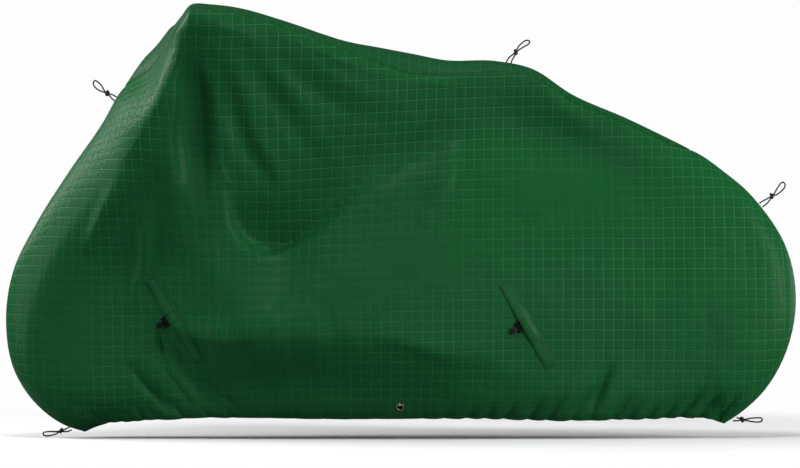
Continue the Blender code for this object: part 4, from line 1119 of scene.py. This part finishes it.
def cloth_piece(name, outer, normals, across, surface, slot, node):
    outer = set_back(outer)
    points, faces, across = closed_sheet(outer, outer - normals * CLOTH, across)
    mesh = mesh_from(name, points, faces, across)
    attribute = mesh.attributes.new("rib_clarity", "FLOAT", "POINT")
    attribute.data.foreach_set("value", clarity_of(points).astype(np.float32))
    print(name, len(faces), "triangles")
    return piece(name, mesh, surface, slot, node)


bands = {}
for side, (fine, plain, normals) in COVER.items():
    part, low_part = slice(TOP, LOW + 1), slice(LOW, None)
    panel = cloth_piece(
        f"panel_{side}", fine[:, part], normals[:, part], ACROSS[side][:, : LOW + 1 - TOP],
        panel_green, "cloth", f"side_panel_{side}",
    )
    bands[side] = cloth_piece(
        f"hem_{side}", fine[:, low_part], normals[:, low_part], ACROSS[side][:, LOW - TOP :],
        hem_green, "hem", f"hem_band_{side}",
    )

within = np.flatnonzero((HOOP_NUMBERS >= GUSSET_FROM) & (HOOP_NUMBERS <= GUSSET_TO))
within = within[: len(within) - 1 + len(within) % 2]  # an odd number of hoops
strip_grid, _, strip_normals = (
    np.concatenate([left[within, TOP::-1], right[within, 1 : TOP + 1]], axis=1)
    for left, right in zip(COVER["left"], COVER["right"])
)
along = distance_along(strip_grid[:, TOP])
sideways = distance_along(strip_grid, 1)
sideways -= sideways[:, TOP : TOP + 1]
strip_across = np.stack(np.broadcast_arrays(along[:, None], sideways), axis=-1)
strip = cloth_piece(
    "top_strip", strip_grid, strip_normals, strip_across, strip_green_painted_darker, "strip", "spine_gusset",
)

# %% [markdown]
# ## What lies on the cloth
#
# Flaps, webbing, stitches and eyelets lie on the cloth. The side view tells where each one is, and the
# cloth's height and slope there come from a plane fitted to the surface's points nearby. Near points
# count most.

# %% Find the cloth at a place in the side view
FIT_REACH = 6.0 * MM


def on_side(side, x, z):
    """Points and unit outward normals of one side of the cloth at x, z.

    At each place y = c + a dx + b dz is fitted to the points, with the weight exp(-(dx^2 + dz^2) / (2 s^2)).
    """
    x, z = np.broadcast_arrays(np.asarray(x, float), np.asarray(z, float))
    local = COVER[side][0][:, TOP:].reshape(-1, 3)
    for axis, place in ((0, x), (2, z)):
        low, high = place.min() - 6 * FIT_REACH, place.max() + 6 * FIT_REACH
        local = local[(local[:, axis] > low) & (local[:, axis] < high)]
    dx, dz = ((local[None, :, axis] - place.reshape(-1, 1)) / FIT_REACH for axis, place in ((0, x), (2, z)))
    weight = np.exp(-(dx**2 + dz**2) / 2)
    terms = np.stack([np.ones_like(dx), dx, dz], axis=-1)
    left = np.einsum("qp,qpi,qpj->qij", weight, terms, terms) + 1e-9 * np.eye(3)
    right = np.einsum("qp,qpi,p->qi", weight, terms, local[:, 1])
    fit = np.linalg.solve(left, right[..., None])[..., 0]
    facing = np.sign(fit[:, :1])
    normal = unit(facing * np.stack([-fit[:, 1], np.full(len(fit), FIT_REACH), -fit[:, 2]], axis=1))
    spots = np.stack([x, fit[:, 0].reshape(x.shape), z], axis=-1)
    return spots, normal.reshape(*x.shape, 3)


# %% [markdown]
# A stitch is a short length of thread that dips into the cloth at both ends. One is modelled with 20
# triangles, and all stitches of a row are copies of it, placed with whole arrays: along the seam,
# sideways and up.

# %% Stitches
THREAD, STITCH_SIDES = 1.3 * MM, 5
STITCH_SHOULDER, STITCH_SUNK = 0.62, 0.9  # where the two rings lie, and how deep the ends dip, in half-widths
STITCH_SHARE = 0.72  # share of the pitch that a stitch fills


def stitch_shape():
    """One stitch from -1 to 1 along x: two end points and two rings between, with its triangles."""
    angle = 2 * np.pi * np.arange(STITCH_SIDES) / STITCH_SIDES
    ring = np.stack([0 * angle, np.cos(angle), np.sin(angle)], axis=1)
    shoulder = np.array([STITCH_SHOULDER, 0, 0])
    first, final = [[-1, 0, -STITCH_SUNK]], [[1, 0, -STITCH_SUNK]]
    points = np.concatenate([first, ring - shoulder, ring + shoulder, final])
    one = 1 + np.arange(STITCH_SIDES)
    after, last = np.roll(one, -1), np.full(STITCH_SIDES, 2 * STITCH_SIDES + 1)
    far, far_after = one + STITCH_SIDES, after + STITCH_SIDES
    triangles = (0 * one, after, one), (one, after, far), (after, far_after, far), (far, far_after, last)
    return points, np.concatenate([np.stack(corners, 1) for corners in triangles])


def row_of_stitches(points, normals, pitch, share=STITCH_SHARE):
    """Stitches along a line of points: middle + x * half way + y * radius * side + z * radius * up."""
    travel = distance_along(points)
    count = max(int(travel[-1] / pitch), 1)
    begin = (np.arange(count) + (1 - share) / 2) * travel[-1] / count
    end = begin + share * travel[-1] / count

    def at(where, values):
        return np.stack([np.interp(where, travel, values[:, axis]) for axis in range(3)], axis=1)

    starts, ends = at(begin, points), at(end, points)
    up = unit(at((begin + end) / 2, normals))
    half = (ends - starts) / 2
    shape, faces = stitch_shape()
    x, y, z = shape.T[:, None, :, None]
    placed_points = (
        ((starts + ends) / 2)[:, None] + x * half[:, None]
        + THREAD / 2 * (y * unit(np.cross(up, half))[:, None] + z * up[:, None])
    )
    faces = faces + len(shape) * np.arange(count)[:, None, None]
    across = np.tile(shape[:, :2] * (2 * MM, 1 * MM), (count, 1))
    return placed_points.reshape(-1, 3), faces.reshape(-1, 3), across


thread_dark, tree, shader = new_material("dark thread", 0.6, 0.12)
fibre = noise(tree, object_place(tree), 900.0, 2.0)
finish(tree, shader, mixed(tree, fibre, (0.0005, 0.005, 0.0018), (0.0010, 0.010, 0.0032)))

# %% [markdown]
# ## Strap flaps, webbing and clips
#
# A strap can be clipped across below the bicycle. Only its ends show: a flap of the same cloth with two
# rows of stitches all round and a box of stitches where it holds the webbing, the black webbing that
# comes out from under the flap's lower edge, and the narrow black end on the webbing.

# %% Webbing, moulded plastic and a rounded slab
WEBBING_PITCH, WEBBING_HEIGHT = 1.5 * MM, 0.18 * MM
GRAIN_HEIGHT = 0.03 * MM  # of the plastic and of the metal

webbing_black, tree, shader = new_material("black webbing", 0.8, 0.12)
flat = shader_node(tree, "ShaderNodeSeparateXYZ", {"Vector": flat_place(tree)}).outputs
weave = maths(tree, "MULTIPLY", *(
    maths(tree, "ABSOLUTE", maths(tree, "SINE", maths(tree, "MULTIPLY", slant, np.pi / WEBBING_PITCH)))
    for slant in (maths(tree, way, flat["X"], flat["Y"]) for way in ("ADD", "SUBTRACT"))
))
webbing_colour = mixed(tree, weave, (0.0004, 0.0008, 0.0006), (0.0020, 0.0034, 0.0027))
finish(tree, shader, webbing_colour, height=maths(tree, "MULTIPLY", weave, WEBBING_HEIGHT))

plastic_black, tree, shader = new_material("black plastic", 0.45, 0.16)
grain = noise(tree, object_place(tree), 1400.0, 2.0)
clouds = noise(tree, object_place(tree), 120.0, 2.0)
plastic_colour = mixed(tree, clouds, (0.0006, 0.0010, 0.0008), (0.0018, 0.0028, 0.0023))
rough = maths(tree, "ADD", 0.30, maths(tree, "MULTIPLY", grain, 0.16))
finish(tree, shader, plastic_colour, rough, maths(tree, "MULTIPLY", grain, GRAIN_HEIGHT))


def slab(size, squareness, steps, ribs=0.0, rib_pitch=1.0):
    """A block with round edges and corners, with its middle at 0.

    x = a * c(v), y = b * s(v) * c(u), z = h * s(v) * s(u), where c and s are cos and sin to the power of
    squareness with their sign kept. Ribs across its length change h by the share ribs * cos(2 pi x / pitch).
    """
    v = np.linspace(0.0, np.pi, steps)[:, None]
    u = np.linspace(0.0, 2 * np.pi, 2 * steps, endpoint=False)[None, :]
    waves = np.cos(v), np.sin(v), np.cos(u), np.sin(u)
    cv, sv, cu, su = (np.sign(wave) * np.abs(wave) ** squareness for wave in waves)
    x = np.broadcast_to(size[0] / 2 * cv, (steps, 2 * steps))
    high = 1 + ribs * np.cos(2 * np.pi * x / rib_pitch) * (np.abs(x) < 0.33 * size[0])
    points = np.stack([x, size[1] / 2 * sv * cu, size[2] / 2 * sv * su * high], axis=-1).reshape(-1, 3)
    return points, grid_faces(steps, 2 * steps, closed=True), points[:, :2]


# %% Sizes of the flap and of what lies under it
FLAP_LENGTH, FLAP_WIDTH, FLAP_THICK = 234 * MM, 29 * MM, 1.2 * MM
FLAP_LIFT, LIFT_REACH, LIFT_EASE = 4.6 * MM, 58 * MM, 40 * MM  # how the webbing beneath lifts the flap
LIFT_ACROSS = ((-0.5, -0.16, 0.17, 0.5), (1.0, 1.0, 0.85, 0.0))  # places across it, share of the lift
FLAP_EDGE, FLAP_FULL, FLAP_FULL_REACH = 1.4 * MM, 0.7 * MM, 6 * MM  # edge's radius, and fullness inside it
ROW_DIP, ROW_REACH = 0.32 * MM, 0.8 * MM  # groove along a row of stitches
FLAP_PUCKER, FLAP_PUCKER_PITCH = 0.16 * MM, 7 * MM
FLAP_PUCKER_INSET, FLAP_PUCKER_REACH = 3.5 * MM, 2.5 * MM
TAB_SIZE, TAB_HIDDEN, TAB_SQUARENESS, TAB_STEPS = (26 * MM, 27 * MM, 1.6 * MM), 12 * MM, 0.16, 48
CLIP_SIZE, CLIP_SQUARENESS, CLIP_STEPS = (17 * MM, 13.5 * MM, 4.5 * MM), 0.30, 64
CLIP_RIBS, CLIP_RIB_PITCH = 0.13, 2.4 * MM
LAY_GAP = 0.9 * MM
STITCH_ROWS = (2.3 * MM, 5.0 * MM)  # distance of both rows from the flap's edge
STITCH_PITCH, STITCH_PROUD, BOX_HALF = 4.2 * MM, 0.2 * MM, (12.5 * MM, 9.0 * MM)
FLAPS = {  # x, z of the middle; slope in degrees; where the webbing comes out, along the flap from its middle
    "front": (-0.828, -0.621, -59.6, 8 * MM),
    "rear": (0.026, -0.631, -60.8, 4 * MM),
}
HALF_ACROSS = np.array([14.5, 14.3, 13.8, 13.0, 12.2, 11.4, 10.5, 9.6, 8.6, 6.5, 4.3, 2.1]) * MM
FLAP_B = np.concatenate([-HALF_ACROSS, [0.0], HALF_ACROSS[::-1]])
FLAP_ENDS = FLAP_LENGTH / 2 - np.array([0.0, 0.3, 0.9, 1.7]) * MM
FLAP_INNER = np.linspace(2.6 * MM - FLAP_LENGTH / 2, FLAP_LENGTH / 2 - 2.6 * MM, 127)
FLAP_A = np.concatenate([-FLAP_ENDS, FLAP_INNER, FLAP_ENDS[::-1]])


# %% The flap, its stitches, the webbing and the clip
def flap_place(which, a, b):
    """x, z in the side view of a place a along the flap and b across it."""
    x, z, slope, _ = FLAPS[which]
    c, s = np.cos(np.radians(slope)), np.sin(np.radians(slope))
    return x + c * a - s * b, z + s * a + c * b


def lift_at(which, a, b):
    """How far the webbing raises the flap at a, b."""
    near = smooth((LIFT_REACH - np.abs(a + FLAPS[which][3])) / LIFT_EASE)
    return FLAP_LIFT * np.interp(b / FLAP_WIDTH, *LIFT_ACROSS) * near


def flap_relief(a, b):
    """Thickness of the flap at a, b: round at the edge, full inside, drawn in along both rows of stitches."""
    inset = np.minimum(FLAP_WIDTH / 2 - np.abs(b), FLAP_LENGTH / 2 - np.abs(a))
    edge = FLAP_THICK * np.sqrt(1 - 0.9 * (1 - np.clip(inset / FLAP_EDGE, 0.0, 1.0)) ** 2)
    full = FLAP_FULL * (1 - np.exp(-np.clip(inset, 0.0, None) / FLAP_FULL_REACH))
    rows = sum(np.exp(-(((inset - row) / ROW_REACH) ** 2)) for row in STITCH_ROWS)
    near_rows = np.exp(-np.abs(inset - FLAP_PUCKER_INSET) / FLAP_PUCKER_REACH)
    pucker = FLAP_PUCKER * np.sin(2 * np.pi * (a + 0.6 * b) / FLAP_PUCKER_PITCH) * near_rows
    return edge + full - ROW_DIP * rows + pucker


def rectangle(half_a, half_b, middle_a, steps):
    """Points along a rectangle in a, b, from one corner round to the same corner."""
    corners = np.array([(middle_a + i * half_a, j * half_b) for i, j in ((-1, -1), (1, -1), (1, 1), (-1, 1))])
    share = np.linspace(0.0, 1.0, steps, endpoint=False)[None, :, None]
    line = corners[:, None] * (1 - share) + np.roll(corners, -1, axis=0)[:, None] * share
    return np.concatenate([line.reshape(-1, 2), corners[:1]])


def add_flap(side, which):
    """One flap with its rows of stitches, laid on the cloth."""
    up = on_side(side, *flap_place(which, 0.0, 0.0))[1]

    def lying(a, b, over):
        """Points at a, b this far over the cloth and over the webbing beneath."""
        over = LAY_GAP + lift_at(which, a, b) + over
        return on_side(side, *flap_place(which, a, b))[0] + over[..., None] * up

    a, b = np.meshgrid(FLAP_A, FLAP_B, indexing="ij")
    base = lying(a, b, 0.0)
    outer = base + flap_relief(a, b)[..., None] * up
    across = np.stack([a, b], axis=-1) + SQUARE_HALF
    mesh = mesh_from(f"flap_{which}_{side}", *closed_sheet(outer, base, across))
    flap = piece(f"flap_{which}_{side}", mesh, flap_green, "flap", f"strap_flap_{which}_{side}")

    lines = [rectangle(FLAP_LENGTH / 2 - row, FLAP_WIDTH / 2 - row, 0.0, 60) for row in STITCH_ROWS]
    lines.append(rectangle(*BOX_HALF, -FLAPS[which][3], 16))
    rows = []
    for line in lines:
        points = lying(*line.T, flap_relief(*line.T) + STITCH_PROUD)
        rows.append(row_of_stitches(points, np.tile(up, (len(line), 1)), STITCH_PITCH))
    piece(f"flap_stitches_{which}_{side}", mesh_from("stitches", *joined(rows)), thread_dark, "flap")


def add_strap_end(side, which):
    """The webbing under a flap and the clip on it, both flat in one plane that clears the cloth."""
    *_, slope, tab_at = FLAPS[which]
    tab_middle = -FLAP_WIDTH / 2 + TAB_HIDDEN - TAB_SIZE[0] / 2
    clip_middle = tab_middle - TAB_SIZE[0] / 2 - SEAM_GAP - CLIP_SIZE[0] / 2
    spot, up = on_side(side, *flap_place(which, -tab_at, tab_middle))
    reach = np.linspace(tab_middle + TAB_SIZE[0] / 2, clip_middle - CLIP_SIZE[0] / 2, 9)
    wide = np.linspace(-TAB_SIZE[1] / 2, TAB_SIZE[1] / 2, 7)
    a, b = np.meshgrid(wide - tab_at, reach, indexing="ij")
    highest = ((on_side(side, *flap_place(which, a, b))[0] - spot) @ up).max()
    ahead = np.array([-np.sin(np.radians(slope)), 0.0, np.cos(np.radians(slope))])
    ahead = unit(ahead - up * ahead.dot(up))
    axes = np.stack([ahead, np.cross(up, ahead), up])
    tab = slab(TAB_SIZE, TAB_SQUARENESS, TAB_STEPS)
    clip = slab(CLIP_SIZE, CLIP_SQUARENESS, CLIP_STEPS, CLIP_RIBS, CLIP_RIB_PITCH)
    for name, middle, size, surface, (points, faces, across), slot in (
        ("tab", tab_middle, TAB_SIZE, webbing_black, tab, "webbing"),
        ("clip", clip_middle, CLIP_SIZE, plastic_black, clip, "plastic"),
    ):
        centre = spot + ahead * (middle - tab_middle) + up * (highest + LAY_GAP + size[2] / 2)
        mesh = mesh_from(f"{name}_{which}_{side}", centre + points @ axes, faces, across)
        made = piece(f"{name}_{which}_{side}", mesh, surface, slot, f"strap_{name}_{which}_{side}")


for side in COVER:
    for which in FLAPS:
        add_flap(side, which)
        add_strap_end(side, which)
print("flaps:", len(FLAPS) * len(COVER))

# %% [markdown]
# ## Eyelets and seam stitches
#
# An eyelet is turned: one closed profile, carried round the middle of its hole. The cloth has a hole
# there too, which its flange covers. The seams beside the strip and along the two edges have a row of
# stitches on each side.

# %% Eyelets
EYELET_HOLE, EYELET_FLANGE, EYELET_WALL = 12.0 * MM, 19.5 * MM, 0.7 * MM
EYELET_PLACE = (-0.282, -0.832)
EYELET_STEPS, EYELET_POINTS = 72, 64
HOLE_STEPS, HOLE_ROOM, HOLE_DEEP = 48, 0.2 * MM, 15 * MM

nickel, tree, shader = new_material("nickel", 0.30, 0.5, Metallic=1.0)
stains = eased(tree, noise(tree, object_place(tree), 420.0, 3.0, 0.6), 0.42, 0.72)
nickel_colour = mixed(tree, stains, (0.36, 0.335, 0.27), (0.12, 0.11, 0.085))
grain = maths(tree, "MULTIPLY", noise(tree, object_place(tree), 1500.0, 2.0), GRAIN_HEIGHT)
finish(tree, shader, nickel_colour, maths(tree, "ADD", 0.24, maths(tree, "MULTIPLY", stains, 0.25)), grain)


def eyelet_profile():
    """Radius and height of the eyelet's closed profile, from the barrel's middle over the roll and back."""
    hole, flange, wall = EYELET_HOLE / 2 / MM, EYELET_FLANGE / 2 / MM, EYELET_WALL / MM
    seat = CLOTH / 2 / MM + 0.3
    upper = np.array([
        (hole, 0.0), (hole, seat + 0.5), (hole + 0.2, seat + 1.0), (hole + 0.8, seat + 1.35),
        (hole + 1.6, seat + 1.3), (hole + 2.4, seat + 0.95), (flange - 0.5, seat + 0.62),
        (flange - 0.1, seat + 0.4), (flange, seat + 0.1), (flange - 0.4, seat), (hole + wall + 0.3, seat),
        (hole + wall, seat - 0.3), (hole + wall, 0.0),
    ])
    closed = np.concatenate([upper, upper[-2:0:-1] * (1, -1), upper[:1]]) * MM
    return smooth_route(np.column_stack([closed, np.zeros(len(closed))]), EYELET_POINTS)[:-1, :2]


def circle(radius, height, steps):
    """Points radius * (cos a, sin a) at a height. Both may be rows, one value for each point of a profile."""
    angle = np.linspace(0.0, 2 * np.pi, steps, endpoint=False)[:, None]
    return np.stack([radius * np.cos(angle), radius * np.sin(angle), height + 0 * radius * angle], axis=-1)


def cut_hole(made, centre, turn, radius):
    """Cuts a round hole through a piece, along the axis that turn carries the Z axis to."""
    ends = [circle(radius, height, HOLE_STEPS)[:, 0] @ turn.T + centre for height in (-HOLE_DEEP, HOLE_DEEP)]
    one = np.arange(HOLE_STEPS)
    after = np.roll(one, -1)
    faces = np.stack([one, after, after + HOLE_STEPS, one + HOLE_STEPS], axis=1).tolist()
    faces += [list(one[::-1]), list(one + HOLE_STEPS)]
    tool_mesh = bpy.data.meshes.new("hole")
    tool_mesh.from_pydata(np.concatenate(ends).tolist(), [], faces)
    tool = bpy.data.objects.new("hole", tool_mesh)
    bpy.context.scene.collection.objects.link(tool)
    cut = made.modifiers.new("hole", "BOOLEAN")
    cut.operation, cut.solver, cut.object = "DIFFERENCE", "EXACT", tool
    bpy.context.view_layer.update()
    finished = bpy.data.meshes.new_from_object(made.evaluated_get(bpy.context.evaluated_depsgraph_get()))
    made.modifiers.clear()
    made.data = finished
    bpy.data.objects.remove(tool)


profile = eyelet_profile()
for side in COVER:
    spot, axis = on_side(side, *EYELET_PLACE)
    centre = spot - axis * CLOTH / 2
    turn = np.array(Vector(axis).to_track_quat("Z", "Y").to_matrix())
    points = circle(*profile.T, EYELET_STEPS).reshape(-1, 3) @ turn.T + centre
    faces = grid_faces(EYELET_STEPS, len(profile), closed=True, ring=True)
    piece(f"eyelet_{side}", mesh_from(f"eyelet_{side}", points, faces), nickel, "metal", f"eyelet_{side}")
    cut_hole(bands[side], centre, turn, EYELET_HOLE / 2 + EYELET_WALL + HOLE_ROOM)
    print("eyelet", side, np.round(centre, 4), len(bands[side].data.polygons), "faces in its hem band")

# %% Stitches along the seams
SEAM_PITCH, SEAM_SHARE, SEAM_PROUD = 5.0 * MM, 0.70, 0.15 * MM
PANEL_ROW = TOP + 3  # number of the row of points 5 mm beside the seam
BUT_ENDS = slice(2, -2)  # hoops, without those at the two ends of the hem

for side, (fine, _, normals) in COVER.items():
    up = normals[BUT_ENDS, PANEL_ROW]
    stitches = row_of_stitches(fine[BUT_ENDS, PANEL_ROW] + SEAM_PROUD * up, up, SEAM_PITCH, SEAM_SHARE)
    piece(f"seam_stitches_{side}", mesh_from("stitches", *stitches), thread_dark, "cloth")
    print("seam", side, len(stitches[1]), "triangles")

# %% [markdown]
# ## Floor and light
#
# The floor is a plain pale disc that thins out towards its rim, so that it joins the white surroundings
# without a line. It looks white to the camera only. For all other rays it is dark, so that it doesn't
# light the cover's belly from below.
#
# All lights are broad and soft. Two overhead make the shadow under the cover and the contrast of its
# folds. Three at the front bring out the gloss of the slope there, from behind, from beside and from low
# down. Two at the rear light the side there and pick out the rear edge. Two weak ones from the camera's
# side fill in the shadows.

# %% Floor, surroundings and lights
GROUND = -0.911
FLOOR_RADIUS, FLOOR_SOLID = 2.2, 1.1  # the floor thins out between these radii
FLOOR_RINGS, FLOOR_SPOKES = 24, 96
FLOOR_UNSEEN, FLOOR_SEEN = (0.20, 0.20, 0.20), (0.86, 0.86, 0.86)
SURROUNDINGS = {"seen": ((1.0, 1.0, 1.0, 1.0), 0.985), "dim": ((0.95, 0.98, 1.0, 1.0), 0.10)}
LIGHTS = (
    # name, place, towards, size in metres, power in watts
    ("key", (-0.5, -1.8, 3.1), (-0.3, 0.0, -0.4), (2.0, 1.0), 88.0),
    ("ceiling", (-0.3, 0.0, 3.4), (-0.3, 0.0, -0.9), (3.6, 3.2), 36.0),
    ("rear_side", (2.9, -1.6, -0.1), (0.2, 0.0, -0.5), (1.0, 1.4), 88.0),
    ("rear_rim", (2.7, 1.3, -0.4), (0.5, 0.0, -0.6), (0.4, 0.8), 14.0),
    ("front_slope", (-3.2, 1.6, 1.0), (-0.9, 0.0, -0.2), (0.9, 1.4), 34.0),
    ("front_near", (-3.0, 0.4, 1.3), (-0.9, 0.0, -0.2), (0.9, 1.4), 42.0),
    ("front_low", (-3.4, -0.6, -0.1), (-0.9, 0.0, -0.5), (0.8, 1.6), 38.0),
    ("fill", (-0.3, -5.0, 0.1), (-0.3, 0.0, -0.4), (4.0, 2.5), 14.0),
    ("fill_low", (0.2, -4.0, -0.7), (0.1, 0.0, -0.6), (4.0, 0.6), 26.0),
)

floor_white, tree, shader = new_material("pale floor", 0.9, 0.1)
seen_or_not = shader_node(tree, "ShaderNodeLightPath").outputs["Is Camera Ray"]
finish(tree, shader, mixed(tree, seen_or_not, FLOOR_UNSEEN, FLOOR_SEEN))
floor_middle = (SEEN_CENTRE[0], 0.0, GROUND)
from_centre = shader_node(
    tree, "ShaderNodeVectorMath", {0: object_place(tree), 1: floor_middle}, operation="DISTANCE",
).outputs["Value"]
tree.links.new(eased(tree, from_centre, FLOOR_RADIUS, FLOOR_SOLID), shader.inputs["Alpha"])
radii = np.linspace(0.002, 1.0, FLOOR_RINGS) * FLOOR_RADIUS
floor_points = circle(radii, 0.0, FLOOR_SPOKES).transpose(1, 0, 2).reshape(-1, 3) + floor_middle
floor_mesh = mesh_from("floor", floor_points, grid_faces(FLOOR_RINGS, FLOOR_SPOKES, closed=True))
floor_mesh.materials.append(floor_white)
floor = bpy.data.objects.new("floor", floor_mesh)
bpy.context.scene.collection.objects.link(floor)

world = bpy.data.worlds.new("studio")
world.use_nodes = True
tree = world.node_tree
tree.nodes.clear()
seen, dim = (
    shader_node(tree, "ShaderNodeBackground", {"Color": colour, "Strength": strength}).outputs[0]
    for colour, strength in SURROUNDINGS.values()
)
is_camera = shader_node(tree, "ShaderNodeLightPath").outputs["Is Camera Ray"]
choice = shader_node(tree, "ShaderNodeMixShader", {0: is_camera, 1: dim, 2: seen}).outputs[0]
shader_node(tree, "ShaderNodeOutputWorld", {"Surface": choice})
bpy.context.scene.world = world

for name, place, towards, size, power in LIGHTS:
    data = bpy.data.lights.new(name, "AREA")
    data.shape = "RECTANGLE"
    data.size, data.size_y = size
    data.energy = power
    light = bpy.data.objects.new(name, data)
    light.location = place
    light.rotation_euler = (Vector(towards) - Vector(place)).to_track_quat("-Z", "Y").to_euler()
    light.visible_camera = False
    bpy.context.scene.collection.objects.link(light)
bpy.context.scene.view_settings.view_transform = "Standard"
print("lights:", len(LIGHTS))
